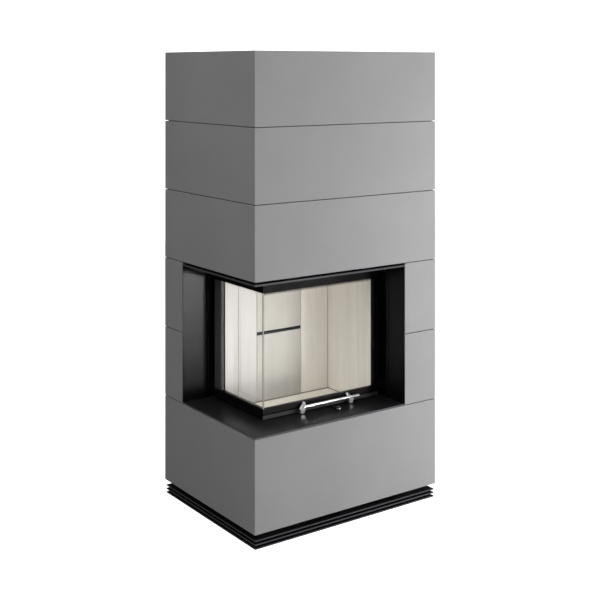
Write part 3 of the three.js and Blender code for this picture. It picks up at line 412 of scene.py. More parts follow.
def heat_paint(name, low_tone, high_tone):
    """Matt paint whose tone drifts between the two with the dust."""
    material, tree, shader = new_material(name)
    coords = object_coords(tree)
    dust = node(
        tree,
        "ShaderNodeTexNoise",
        {"Vector": coords, "Scale": per_mm(PAINT_DUST), "Detail": 4, "Roughness": 0.6},
    )
    grain = node(
        tree,
        "ShaderNodeTexNoise",
        {"Vector": coords, "Scale": per_mm(PAINT_GRAIN), "Detail": 2, "Roughness": 0.6},
    )
    tone = node(tree, "ShaderNodeValToRGB", {"Fac": dust}, stops=[(0.3, low_tone), (0.75, high_tone)])
    matt = node(tree, "ShaderNodeMapRange", {"Value": dust, **NOISE_SPAN, "To Min": 0.55, "To Max": 0.75})
    fine = node(tree, "ShaderNodeBump", {"Height": grain, "Distance": 0.06 * MM, "Strength": 0.4})
    fill(tree, shader, {"Base Color": tone, "Roughness": matt, "Specular IOR Level": 0.14, "Normal": fine})
    return material


PAINT = heat_paint("black_heat_resistant_paint", "#0a0a0a", "#100f0f")
GREY_PAINT = heat_paint("dark_grey_heat_resistant_paint", "#3f3f40", "#484848")
print("paints", PAINT.name, GREY_PAINT.name)

# %% [markdown]
# The bottom rail of the door has the black powder coat too, but its lower edge is raised to a lip whose
# front is painted lighter grey, a painted highlight where it catches the light, and the groove over the lip
# is made fully rough so that it catches no light. The lip is a shape of the solid. Its colour could be a
# second material on some faces, but the frame's meshes stay as they are, so one material finds the lip by
# its height and by where its surface faces.

# %% Bottom rail of the door
LIP_HEIGHT = 18 * MM
LIP_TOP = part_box("door_rail_bottom")[0][2] + LIP_HEIGHT
LIP_GROOVE = 4.5 * MM
LIP_LINE = 0.3 * MM

# How far back a face looks, from -1 for the front of the rail to 0 for its top, where the painted highlight
# ends.
FRONT_BELOW = -0.9
HIDDEN_ABOVE = -0.5


def lipped_rail():
    """Black coat, with a lighter grey painted highlight on the front of the lip and a dull groove over it."""
    material, tree, shader = new_material("black_powder_coated_rail")
    coords = object_coords(tree)
    wipe = node(
        tree, "ShaderNodeTexNoise", {"Vector": coords, "Scale": per_mm(WIPE), "Detail": 3, "Roughness": 0.6}
    )
    level = node(tree, "ShaderNodeSeparateXYZ", {"Vector": coords}).outputs["Z"]
    on_lip = node(
        tree,
        "ShaderNodeMapRange",
        {"Value": level, "From Min": LIP_TOP - LIP_LINE, "From Max": LIP_TOP, "To Min": 1.0, "To Max": 0.0},
    )
    groove_top = LIP_TOP + LIP_GROOVE
    below_groove_top = node(
        tree,
        "ShaderNodeMapRange",
        {"Value": level, "From Min": groove_top, "From Max": groove_top + LIP_LINE, "To Min": 1.0,
         "To Max": 0.0},
    )
    in_groove = node(tree, "ShaderNodeMath", {0: below_groove_top, 1: on_lip}, operation="SUBTRACT")
    normal = node(tree, "ShaderNodeNewGeometry").outputs["Normal"]
    facing = node(tree, "ShaderNodeSeparateXYZ", {"Vector": normal}).outputs["Y"]
    front = node(
        tree,
        "ShaderNodeMapRange",
        {"Value": facing, "From Min": FRONT_BELOW, "From Max": HIDDEN_ABOVE, "To Min": 1.0, "To Max": 0.0},
    )
    # Painted highlight: the front of the lip is lighter grey.
    highlighted = node(tree, "ShaderNodeMath", {0: on_lip, 1: front}, operation="MULTIPLY")
    coat = node(tree, "ShaderNodeValToRGB", {"Fac": wipe}, stops=COAT_TONES)
    lip_highlight_tone = node(tree, "ShaderNodeValToRGB", {"Fac": wipe}, stops=[(0.3, "#343436"), (0.7, "#3b3b3d")])
    shown = node(tree, "ShaderNodeMix", {0: highlighted, 6: coat, 7: lip_highlight_tone}, data_type="RGBA").outputs[2]
    sheen = node(
        tree,
        "ShaderNodeMapRange",
        {"Value": in_groove, "From Min": 0.0, "From Max": 1.0, "To Min": 0.33, "To Max": 1.0},
    )
    fill(tree, shader, {"Base Color": shown, "Roughness": sheen, "Specular IOR Level": COAT_GLOSS})
    return material


RAIL = lipped_rail()
print("rail", RAIL.name, "lip up to", round(LIP_TOP, 4), "m")

# %% [markdown]
# Behind the lining lies the air duct, which is seen only through the air slot. It is steel that soot has
# covered, and soot scatters almost nothing back; its black, darker than the paint, is also painted shade for
# the deep slot, so to the eye the slot is a dark line. A plain black would do from afar. A crust of noise,
# dark as it is, keeps the duct from looking like a hole when it is seen from nearby.

# %% Sooted steel with painted shade

# Millimetres.
SOOT_CRUST = 8


def sooted_and_shaded_steel():
    """Dead black crust: soot, and painted shade for the slot."""
    material, tree, shader = new_material("sooted_and_shaded_steel")
    crust = node(
        tree,
        "ShaderNodeTexNoise",
        {"Vector": object_coords(tree), "Scale": per_mm(SOOT_CRUST), "Detail": 4, "Roughness": 0.6},
    )
    black = node(tree, "ShaderNodeValToRGB", {"Fac": crust}, stops=[(0.3, "#050505"), (0.7, "#0b0a0a")])
    flaky = node(tree, "ShaderNodeBump", {"Height": crust, "Distance": 0.2 * MM, "Strength": 0.4})
    fill(tree, shader, {"Base Color": black, "Roughness": 1.0, "Specular IOR Level": 0.05, "Normal": flaky})
    return material


SOOT_AND_SHADE = sooted_and_shaded_steel()
print("soot", SOOT_AND_SHADE.name)

# %% [markdown]
# The combustion air box, the pulley brackets, the ropes and the fasteners are galvanised steel: dipped in
# molten zinc, which freezes in flat crystals. To the eye it is a light metal of patches that mirror a little
# more or less, the spangle. Noise would give clouds without edges. A Voronoi texture divides a surface into
# patches, and the random colour that it gives each one sets both its tone and its roughness.

# %% Galvanised steel

# Millimetres.
SPANGLE = 9
ZINC_WAVES = 5


def galvanised():
    """Zinc with spangle, each crystal of its own tone and roughness."""
    material, tree, shader = new_material("galvanised_steel")
    coords = object_coords(tree)
    spangle = node(tree, "ShaderNodeTexVoronoi", {"Vector": coords, "Scale": per_mm(SPANGLE)})
    flake = node(tree, "ShaderNodeSeparateColor", {"Color": spangle.outputs["Color"]}).outputs[0]
    tone = node(tree, "ShaderNodeValToRGB", {"Fac": flake}, stops=[(0.0, "#a4a8ab"), (1.0, "#c3c7c9")])
    dull = node(
        tree,
        "ShaderNodeMapRange",
        {"Value": flake, "From Min": 0.0, "From Max": 1.0, "To Min": 0.32, "To Max": 0.48},
    )
    waves = node(
        tree,
        "ShaderNodeTexNoise",
        {"Vector": coords, "Scale": per_mm(ZINC_WAVES), "Detail": 2, "Roughness": 0.55},
    )
    uneven = node(tree, "ShaderNodeBump", {"Height": waves, "Distance": 0.03 * MM, "Strength": 0.4})
    fill(tree, shader, {"Metallic": 1.0, "Base Color": tone, "Roughness": dull, "Normal": uneven})
    return material


ZINC = galvanised()
print("zinc", ZINC.name)

# %% [markdown]
# The handle rod with its brackets and the axles of the pulleys are polished stainless steel. To the eye it
# is a bright mirror with fine lines along the rod. The round form and the lamps give the highlights, so the
# finish needs only the lines, which are noise drawn out along the rod, and smears of a hand in the
# roughness. A pure metal would mirror little but the dim surroundings of a plain studio and turn dark, so
# about half of it is plain light grey.

# %% Polished stainless steel

# Millimetres. Polishing lines are far finer than this on the real rod, and are drawn so that they show.
POLISHING_LINE = 0.7
SMEAR = 30

LINES_DRAWN = (0.04, 1, 1)


def stainless():
    """Bright steel with polishing lines along the width of the fireplace."""
    material, tree, shader = new_material("polished_stainless_steel")
    lines = node(
        tree,
        "ShaderNodeTexNoise",
        {"Vector": object_coords(tree, LINES_DRAWN), "Scale": per_mm(POLISHING_LINE), "Detail": 2,
         "Roughness": 0.5},
    )
    smear = node(
        tree,
        "ShaderNodeTexNoise",
        {"Vector": object_coords(tree), "Scale": per_mm(SMEAR), "Detail": 3, "Roughness": 0.6},
    )
    bright = node(tree, "ShaderNodeValToRGB", {"Fac": lines}, stops=[(0.3, "#d2d2d2"), (0.7, "#dedede")])
    polish = node(tree, "ShaderNodeMapRange", {"Value": smear, **NOISE_SPAN, "To Min": 0.14, "To Max": 0.2})
    fine = node(tree, "ShaderNodeBump", {"Height": lines, "Distance": 0.01 * MM, "Strength": 0.3})
    fill(tree, shader, {"Metallic": 0.55, "Base Color": bright, "Roughness": polish, "Normal": fine})
    return material


STEEL = stainless()
print("stainless", STEEL.name)

# %% [markdown]
# The knob of the air lever is moulded black plastic with a polished steel band let into its waist. The
# band's light grey, half metal, is also a painted highlight: to the eye it is a bright line round the knob.
# It could be a ring of its own, but it lies flush in the knob, so one material turns to steel within half
# a band's height of the waist.

# %% Banded knob
KNOB_LOW, KNOB_HIGH = (corner[2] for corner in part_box("air_lever_knob"))
KNOB_WAIST = (KNOB_LOW + KNOB_HIGH) / 2
KNOB_HIGHLIGHT_BAND = 5 * MM
BAND_LINE = 0.1 * MM

# Millimetres.
KNOB_GRAIN = 6


def banded_knob():
    """Black plastic that turns to light grey steel round the waist: a steel band and a painted highlight."""
    material, tree, shader = new_material("black_knob_with_highlight_band")
    coords = object_coords(tree)
    level = node(tree, "ShaderNodeSeparateXYZ", {"Vector": coords}).outputs["Z"]
    offset = node(tree, "ShaderNodeMath", {0: level, 1: KNOB_WAIST}, operation="SUBTRACT")
    distance = node(tree, "ShaderNodeMath", {0: offset}, operation="ABSOLUTE")
    # Painted highlight: a light band round the waist.
    band = node(
        tree,
        "ShaderNodeMapRange",
        {"Value": distance, "From Min": KNOB_HIGHLIGHT_BAND / 2 - BAND_LINE, "From Max": KNOB_HIGHLIGHT_BAND / 2, "To Min": 1.0,
         "To Max": 0.0},
    )
    grain = node(
        tree,
        "ShaderNodeTexNoise",
        {"Vector": coords, "Scale": per_mm(KNOB_GRAIN), "Detail": 2, "Roughness": 0.55},
    )
    plastic = node(tree, "ShaderNodeValToRGB", {"Fac": grain}, stops=[(0.3, "#101010"), (0.7, "#181818")])
    steel = linear("#dcdcdc")
    shown = node(tree, "ShaderNodeMix", {0: band, 6: plastic, 7: steel}, data_type="RGBA").outputs[2]
    metal = node(
        tree,
        "ShaderNodeMapRange",
        {"Value": band, "From Min": 0.0, "From Max": 1.0, "To Min": 0.0, "To Max": 0.5},
    )
    sheen = node(
        tree,
        "ShaderNodeMapRange",
        {"Value": band, "From Min": 0.0, "From Max": 1.0, "To Min": 0.35, "To Max": 0.12},
    )
    fill(tree, shader, {"Base Color": shown, "Metallic": metal, "Roughness": sheen})
    return material


KNOB = banded_knob()
print("knob", KNOB.name, "waist at", round(KNOB_WAIST, 4), "m")

# %% [markdown]
# The counterweights and the pulleys are grey iron, cast in sand and left raw. To the eye it is dark, with a
# rough skin and brown patches where rust begins. The skin could be sculpted, but these pieces are hidden
# behind the cladding, so one noise roughens them and a wider one tints them.

# %% Cast iron

# Millimetres. The skin is drawn coarser than moulding sand, so that it shows.
SAND_SKIN = 2.6
RUST_PATCH = 45


def cast_iron():
    """Raw casting: rough skin, grey with brown patches."""
    material, tree, shader = new_material("cast_iron")
    coords = object_coords(tree)
    skin = node(
        tree,
        "ShaderNodeTexNoise",
        {"Vector": coords, "Scale": per_mm(SAND_SKIN), "Detail": 3, "Roughness": 0.65},
    )
    rust = node(
        tree,
        "ShaderNodeTexNoise",
        {"Vector": coords, "Scale": per_mm(RUST_PATCH), "Detail": 4, "Roughness": 0.6},
    )
    tone = node(tree, "ShaderNodeValToRGB", {"Fac": rust}, stops=[(0.35, "#3a3a3b"), (0.72, "#4a4643")])
    raw = node(tree, "ShaderNodeMapRange", {"Value": skin, **NOISE_SPAN, "To Min": 0.5, "To Max": 0.7})
    rough = node(tree, "ShaderNodeBump", {"Height": skin, "Distance": 0.3 * MM, "Strength": 0.5})
    fill(tree, shader, {"Metallic": 0.85, "Base Color": tone, "Roughness": raw, "Normal": rough})
    return material


IRON = cast_iron()
print("iron", IRON.name)

# %% [markdown]
# The panes are glass ceramic, clear with a faint tint, which stands the heat of the fire. An anti-reflection
# layer on both faces leaves about a fifth of the usual mirror image. The front pane turns darker towards the
# upper edge of what is seen of it. A pane could be a see-through sheet without thickness, but the solids are
# real panes, so the shader lets the light through with the IOR of glass, and its Specular Tint stands for the
# layer. The darkening is a tint that grows over the last millimetres below the top.

# %% Glass ceramic

# Millimetres.
GLASS_WIPE = 80

WIPE_DRAWN = (1, 1, 0.3)
GLASS_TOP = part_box("door_stile_front")[1][2]
DARKENING_HEIGHT = 13 * MM
MIRROR_LEFT = 0.2


def glass_ceramic(name, top_tone):
    """Clear pane; the second argument is the darker colour it turns to at the upper edge of what is seen of it.
    """
    material, tree, shader = new_material(name)
    wipe = node(
        tree,
        "ShaderNodeTexNoise",
        {"Vector": object_coords(tree, WIPE_DRAWN), "Scale": per_mm(GLASS_WIPE), "Detail": 3,
         "Roughness": 0.6},
    )
    clear = node(tree, "ShaderNodeValToRGB", {"Fac": wipe}, stops=[(0.3, "#f4f6f5"), (0.7, "#fafbfa")])
    level = node(tree, "ShaderNodeSeparateXYZ", {"Vector": object_coords(tree)}).outputs["Z"]
    toward_top = node(
        tree,
        "ShaderNodeMapRange",
        {"Value": level, "From Min": GLASS_TOP - DARKENING_HEIGHT, "From Max": GLASS_TOP},
    )
    tint = node(tree, "ShaderNodeMix", {0: toward_top, 6: clear, 7: linear(top_tone)}, data_type="RGBA").outputs[2]
    layer = (MIRROR_LEFT, MIRROR_LEFT, MIRROR_LEFT, 1.0)
    fill(tree, shader, {"Base Color": tint, "Roughness": 0.0, "IOR": 1.5})
    fill(tree, shader, {"Transmission Weight": 1.0, "Specular Tint": layer})
    return material


GLASS = glass_ceramic("clear_glass_ceramic", "#e8e8e6")
TOP_DARKENED_GLASS = glass_ceramic("top_darkened_glass_ceramic", "#4a4642")
print("panes", GLASS.name, TOP_DARKENED_GLASS.name, "film from", round(GLASS_TOP - DARKENING_HEIGHT, 4), "m up")

# %% [markdown]
# The seal behind the door's frame is a rope of braided glass fibre. To the eye it is a dull dark band of
# crossing threads. Real threads would be thousands of thin tubes in a groove where hardly any is seen, so
# two wave textures, turned against each other, are multiplied into a braid.

# %% Braided glass fibre

# Millimetres.
BRAID_THREAD = 2.4

# At scale 1 the bands of a wave texture repeat this often in a metre.
WAVE_REPEATS = 20 / 6.28
BRAID_TURNS = (0.7, -0.7)


def fibre_rope():
    """Dark threads that cross at two slants."""
    material, tree, shader = new_material("braided_glass_fibre")
    coords = object_coords(tree)
    waves = []
    for turn in BRAID_TURNS:
        turned = node(tree, "ShaderNodeMapping", {"Vector": coords, "Rotation": (turn, turn, turn)})
        scale = per_mm(BRAID_THREAD) / WAVE_REPEATS
        wave = node(tree, "ShaderNodeTexWave", {"Vector": turned, "Scale": scale, "Distortion": 0.6})
        waves.append(wave.outputs["Fac"])
    braid = node(tree, "ShaderNodeMath", {0: waves[0], 1: waves[1]}, operation="MULTIPLY")
    tone = node(tree, "ShaderNodeValToRGB", {"Fac": braid}, stops=[(0.0, "#141414"), (1.0, "#2f2f2e")])
    threads = node(tree, "ShaderNodeBump", {"Height": braid, "Distance": 0.5 * MM, "Strength": 0.6})
    fill(tree, shader, {"Base Color": tone, "Roughness": 0.9, "Normal": threads})
    return material


FIBRE = fibre_rope()
print("fibre", FIBRE.name)

# %% [markdown]
# Where the two panes meet, the corner is filled with grey heat-proof sealant, drawn along with a gun and
# smoothed. To the eye it is a dull light line with faint upright drag marks. The marks could be scratches in
# a picture, but noise drawn out along the height gives them at any length of seam.

# %% Sealant

# Millimetres.
DRAG_MARK = 4

MARKS_DRAWN = (1, 1, 0.1)


def sealant():
    """Light grey with upright drag marks."""
    material, tree, shader = new_material("grey_heat_proof_sealant")
    drawn = node(
        tree,
        "ShaderNodeTexNoise",
        {"Vector": object_coords(tree, MARKS_DRAWN), "Scale": per_mm(DRAG_MARK), "Detail": 2,
         "Roughness": 0.5},
    )
    grey = node(tree, "ShaderNodeValToRGB", {"Fac": drawn}, stops=[(0.3, "#9a9993"), (0.7, "#a9a8a2")])
    marks = node(tree, "ShaderNodeBump", {"Height": drawn, "Distance": 0.1 * MM, "Strength": 0.4})
    fill(tree, shader, {"Base Color": grey, "Roughness": 0.6, "Normal": marks})
    return material


SEALANT = sealant()
print("sealant", SEALANT.name)

# %% [markdown]
# Every solid of the frame takes the finish of its material in the record. The solids could be dressed one by
# one, but a loop over the record can't forget any. A cut sheet or a fired panel is never razor sharp, so
# their edges get a small Bevel modifier, which catches a thin line of light and leaves the mesh as it is.
# Round pieces are made of flat facets and are shaded smooth across them, up to the angle of a real edge.

# %% Dress the solids
FINISHES = {
    "cast_stone": STONE,
    "fireclay": CLAY,
    "black_steel": BLACK,
    "body_steel": PAINT,
    "galvanised_steel": ZINC,
    "polished_steel": STEEL,
    "cast_iron": IRON,
    "ceramic_glass": GLASS,
    "fibre_seal": FIBRE,
    "glass_sealant": SEALANT,
}
EDGES_MM = {"black_steel": 0.5, "galvanised_steel": 0.4, "body_steel": 0.5, "fireclay": 0.4}
BEVELLED_FROM = math.radians(40)
SMOOTH_UP_TO = math.radians(32)
ROUND_PIECES = (
    "flue_pipe", "air_spigot", "smoke_dome", "handle_bar", "handle_bracket_left", "handle_bracket_right",
    "air_lever_knob", "pulley_left", "pulley_right", "pulley_axle_left", "pulley_axle_right",
)


def set_material(obj, material):
    """Makes this the only material of an object."""
    obj.data.materials.clear()
    obj.data.materials.append(material)


def bevel(obj, width):
    """Rounds the real edges a little, and none between the facets of a round."""
    made = obj.modifiers.new("edge", "BEVEL")
    made.width = width
    made.segments = 2
    made.limit_method = "ANGLE"
    made.angle_limit = BEVELLED_FROM
    made.harden_normals = False


def smooth_round(obj):
    """Smooth shading across shallow facets, and sharp at real edges."""
    for polygon in obj.data.polygons:
        polygon.use_smooth = True
    bpy.context.view_layer.objects.active = obj
    obj.select_set(True)
    bpy.ops.object.shade_auto_smooth(angle=SMOOTH_UP_TO)
    obj.select_set(False)


slot_of = {part["node"]: part["material_slot"] for part in frame["record"]["subparts"]}
for name, obj in frame["nodes"].items():
    slot = slot_of[name]
    set_material(obj, FINISHES[slot])
    if name in ROUND_PIECES:
        smooth_round(obj)
    elif slot in EDGES_MM:
        bevel(obj, EDGES_MM[slot] * MM)
print("dressed", len(frame["nodes"]), "solids, of them", len(ROUND_PIECES), "round")

# %% [markdown]
# Some pieces wear a finish of their own: panel copies as painted shade and painted light, plates with a
# painted highlight on their edges, reveals whose gloss stands in for light and shade, the stile in dark grey
# paint. The sill's front edge is a hem, where the sheet is folded back on itself, so it is rounder than a cut
# edge. The panes cast no shadow. Real glass lets lamp light through, but a renderer stops it at a solid
# pane, unless it traces caustics, which takes long and stays grainy.

# %% Pieces with a finish of their own
OWN_FINISHES = {
    "hearth_sill": SILL,
    "lintel_support_frame": LEDGE,
    "plinth_fin_lower": FIN,
    "plinth_fin_middle": FIN,
    "plinth_fin_upper": FIN,
    "reveal_left": LIT_GLOSS_BLACK,
    "reveal_right": SHADED_DULL_BLACK,
    "secondary_air_duct": SOOT_AND_SHADE,
    "air_lever_knob": KNOB,
    "lining_back_end": SHADED_GREY_CLAY,
    "lining_back_left": SHADED_GREY_CLAY,
    "lining_back_centre_lower": SHADED_WARM_CLAY,
    "lining_back_centre_upper": SHADED_WARM_CLAY,
    "lining_right": RIGHT_CLAY,
    "lining_floor": LIT_FLOOR_CLAY,
    "door_stile_side": GREY_PAINT,
    "door_rail_bottom": RAIL,
    "glass_front": TOP_DARKENED_GLASS,
}
SILL_HEM = 1.1 * MM
for name, material in OWN_FINISHES.items():
    set_material(frame["nodes"][name], material)
frame["nodes"]["hearth_sill"].modifiers["edge"].width = SILL_HEM
for name in ("glass_front", "glass_side"):
    frame["nodes"][name].visible_shadow = False
print("own finishes", len(OWN_FINISHES))

# %% [markdown]
# Two things are too fine for the solids: the twist of the ropes and the small sleeves at their ends. Both
# are skins over rings of points. Such a skin could come from a curve with a profile or from the Screw
# modifier, but a rope has to turn and bend at once. So the rings are worked out here, and one function
# closes any row of them with quads and two caps.

# %% Rings of points


def mesh_object(name, points, faces, material):
    """Smooth object at the origin whose mesh is given in place, with its normals turned outward."""
    mesh = bpy.data.meshes.new(name)
    mesh.from_pydata([tuple(point) for point in points], [], faces)
    shell = bmesh.new()
    shell.from_mesh(mesh)
    bmesh.ops.recalc_face_normals(shell, faces=shell.faces)
    for face in shell.faces:
        face.smooth = True
    shell.to_mesh(mesh)
    shell.free()
    mesh.materials.append(material)
    obj = bpy.data.objects.new(name, mesh)
    scene.collection.objects.link(obj)
    return obj


def ringed(rings):
    """Points and faces of a closed skin: quads between neighbouring rings, and a cap at each end."""
    count = len(rings[0])
    faces = [list(range(count)), [(len(rings) - 1) * count + i for i in range(count)]]
    for k in range(len(rings) - 1):
        for i in range(count):
            j = (i + 1) % count
            faces.append([k * count + i, k * count + j, (k + 1) * count + j, (k + 1) * count + i])
    return [point for ring in rings for point in ring], faces


print("faces of three rings of four points:", len(ringed([[Vector()] * 4] * 3)[1]))

# %% [markdown]
# The door hangs on two steel wire ropes, each of six strands laid round one another. To the eye a rope is a
# thin light line with slanting notches. Six tubes would be true to the real one, but only their outer sides
# show. So the rope is one skin, whose rings have a crown for each strand and a notch between two, and turn
# once in every lay.

# %% Wire rope
STRANDS = 6
STRAND_POINTS = 4
STRAND_NOTCH = 0.24
ROPE_LAY = 26 * MM
RINGS_PER_LAY = 24
ROPE_STEP = ROPE_LAY / RINGS_PER_LAY


def laid_rope(name, path, side, radius):
    """Rope along a path that lies square to `side`; its section turns once in every lay."""
    count = STRANDS * STRAND_POINTS
    rings = []
    length = 0.0
    for i, point in enumerate(path):
        length += (point - path[i - 1]).length if i else 0.0
        tangent = (path[min(i + 1, len(path) - 1)] - path[max(i - 1, 0)]).normalized()
        across = side.cross(tangent)
        ring = []
        for k in range(count):
            angle = 2 * math.pi * k / count
            crown = abs(math.cos(STRANDS * angle / 2))
            reach = radius * (1 - STRAND_NOTCH + STRAND_NOTCH * crown)
            turned = angle + 2 * math.pi * length / ROPE_LAY
            ring.append(point + reach * (math.cos(turned) * side + math.sin(turned) * across))
        rings.append(ring)
    return mesh_object(name, *ringed(rings), ZINC)


def straight(start, end):
    """Points of a straight run, about one rope step apart."""
    count = max(2, round((end - start).length / ROPE_STEP))
    return [start.lerp(end, i / count) for i in range(count + 1)]


print("a rope has", round(1 / ROPE_STEP), "rings in a metre")

# %% [markdown]
# Each rope ends in a ferrule, a soft metal sleeve that is crimped round it, with a flange as its foot. It
# could be a stack of cylinders, but it is round all over, so its outline is drawn once and turned about the
# rope, as on a lathe.

# %% Ferrule

# Outline of a crimped ferrule with a foot flange: radius and height in millimetres above what it stands on.
FERRULE = [
    (6.6, 0), (7, 0.4), (7, 2.6), (6.6, 3), (5.2, 3.4), (4.6, 4.2), (4.6, 8.4), (4.1, 9), (4.1, 10),
    (4.6, 10.6), (4.6, 14.4), (4.1, 15), (4.1, 16), (4.6, 16.6), (4.6, 20.6), (4.1, 21.4), (2.4, 22),
]
TURNED_SIDES = 24


def turned_piece(name, foot, profile_mm, material):
    """Solid of revolution about an upright axis at `foot`; the profile is (radius, height)."""
    rings = []
    for radius, rise in profile_mm:
        turn = [2 * math.pi * i / TURNED_SIDES for i in range(TURNED_SIDES)]
        rings.append([foot + Vector((radius * math.cos(a), radius * math.sin(a), rise)) * MM for a in turn])
    return mesh_object(name, *ringed(rings), material)


print("ferrule height", FERRULE[-1][1], "mm")

# %% [markdown]
# The plain rods of the frame give each rope its place and thickness, and the drawn ropes replace them. The
# run on the door's side goes on over its pulley as a half turn. When the door lifts, a run gets shorter on
# one side and longer on the other. The rope could be drawn anew for each pose, but one scene has to serve
# them all, so each run is drawn once as it hangs at rest, and only its ferrule follows the door or the weight.

# %% Hang the ropes


def middle(node_name):
    """Middle of the box of a solid."""
    low, high = (Vector(corner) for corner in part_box(node_name))
    return (low + high) / 2


def half_turn(head, centre):
    """Points of the rope over its pulley, after the head of its straight run."""
    out = head - centre
    up = Vector((0, 0, out.length))
    steps = round(math.pi * out.length / ROPE_STEP)
    return [
        centre + out * math.cos(math.pi * i / steps) + up * math.sin(math.pi * i / steps)
        for i in range(1, steps + 1)
    ]


for side_name, side in (("left", Vector((1, 0, 0))), ("right", Vector((0, 1, 0)))):
    pulley = middle(f"pulley_{side_name}")
    for run, body in (("door", "door"), ("weight", f"counterweight_{side_name}")):
        cad_name = f"rope_{run}_{side_name}"
        low, high = (Vector(corner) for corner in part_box(cad_name))
        axis = middle(cad_name)
        foot = Vector((axis.x, axis.y, low.z))
        head = Vector((axis.x, axis.y, pulley.z))
        path = straight(foot, head)
        if run == "door":
            path += half_turn(head, pulley)
        rope = laid_rope(f"wire_rope_{run}_{side_name}", path, side, (high.x - low.x) / 2)
        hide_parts(cad_name)
        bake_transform(rope)
        ferrule = turned_piece(f"ferrule_{run}_{side_name}", foot, FERRULE, ZINC)
        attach(ferrule, body)
        print(rope.name, "straight run", round((head - foot).length, 3), "m, rings", len(path))

# %% [markdown]
# Socket screws hold the top cover all round, and two bolts hold each pulley bracket. Heads could be copied
# by hand or by an Array modifier. Geometry Nodes make a row from sizes with names: a line of points, a head
# with a hexagon socket cut into it, an instance of the head on each point. The export drops instances, so
# the tree makes them real and paints them before its end.

# %% Screw row group
HEAD_SIDES = 28
HEAD_TAPER = 0.86
HEX_SIDES = 6
HEX_SOCKET = 0.5
HEX_FLOOR = 0.45
ROW_INPUTS = {
    "Start": "NodeSocketVector", "Step": "NodeSocketVector", "Count": "NodeSocketInt",
    "Head Radius": "NodeSocketFloat", "Head Height": "NodeSocketFloat", "Material": "NodeSocketMaterial",
}


def screw_row_group():
    """Geometry Nodes group: heads with a hexagon socket, one at each step of a row."""
    tree = bpy.data.node_groups.new("screw_row", "GeometryNodeTree")
    for name, kind in ROW_INPUTS.items():
        tree.interface.new_socket(name, in_out="INPUT", socket_type=kind)
    tree.interface.new_socket("Geometry", in_out="OUTPUT", socket_type="NodeSocketGeometry")
    given = node(tree, "NodeGroupInput").outputs
    radius, height = given["Head Radius"], given["Head Height"]
    row = node(
        tree,
        "GeometryNodeMeshLine",
        {"Count": given["Count"], "Start Location": given["Start"], "Offset": given["Step"]},
        mode="OFFSET",
    )
    crown = node(tree, "ShaderNodeMath", {0: radius, 1: HEAD_TAPER}, operation="MULTIPLY")
    head = node(
        tree,
        "GeometryNodeMeshCone",
        {"Vertices": HEAD_SIDES, "Radius Top": crown, "Radius Bottom": radius, "Depth": height},
    )
    key = node(tree, "ShaderNodeMath", {0: radius, 1: HEX_SOCKET}, operation="MULTIPLY")
    recess = node(
        tree,
        "GeometryNodeMeshCone",
        {"Vertices": HEX_SIDES, "Radius Top": key, "Radius Bottom": key, "Depth": height},
    )
    rise = node(tree, "ShaderNodeMath", {0: height, 1: HEX_FLOOR}, operation="MULTIPLY")
    lift = node(tree, "ShaderNodeCombineXYZ", {"Z": rise})
    raised = node(tree, "GeometryNodeTransform", {"Geometry": recess, "Translation": lift})
    hollowed = node(tree, "GeometryNodeMeshBoolean", {0: head, 1: raised}, operation="DIFFERENCE")
    placed = node(tree, "GeometryNodeInstanceOnPoints", {"Points": row, "Instance": hollowed})
    real = node(tree, "GeometryNodeRealizeInstances", {"Geometry": placed})
    painted = node(tree, "GeometryNodeSetMaterial", {"Geometry": real, "Material": given["Material"]})
    node(tree, "NodeGroupOutput", {"Geometry": painted})
    return tree


SCREW_ROW = screw_row_group()
print("screw row group with", len(SCREW_ROW.nodes), "nodes")

# %% [markdown]
# A node group does nothing until an object wears it as a modifier. The row could stay such an object, but
# the export wants plain pieces. So each row has a helper, whose modifier is told the sizes of the row by the
# identifiers of its sockets. The result is copied into a mesh of its own, and the helper is thrown away.

# %% One row of screws


def screw_row(name, start, step, count, head):
    """Row of `count` screws as a mesh that rides on the fireplace; `head` is its radius and its height."""
    maker = bpy.data.objects.new(f"{name}_maker", bpy.data.meshes.new(f"{name}_maker"))
    scene.collection.objects.link(maker)
    modifier = maker.modifiers.new("row", "NODES")
    modifier.node_group = SCREW_ROW
    values = dict(zip(ROW_INPUTS, (start, step, count, *head, ZINC)))
    for item in SCREW_ROW.interface.items_tree:
        if item.item_type == "SOCKET" and item.in_out == "INPUT":
            modifier[item.identifier] = values[item.name]
    shown = maker.evaluated_get(bpy.context.evaluated_depsgraph_get())
    mesh = bpy.data.meshes.new_from_object(shown)
    mesh.name = name
    bpy.data.objects.remove(maker)
    row = bpy.data.objects.new(name, mesh)
    scene.collection.objects.link(row)
    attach(row, "fireplace")
    heights = [vertex.co.z for vertex in mesh.vertices]
    print(name, count, "screws from", round(min(heights), 4), "to", round(max(heights), 4))


# %% [markdown]
# The top cover is a sheet that is screwed down along its four edges, with a screw in each corner and the
# others spread evenly at about one pitch. The rows of the short sides leave out the corners, which the front
# and back rows have already.

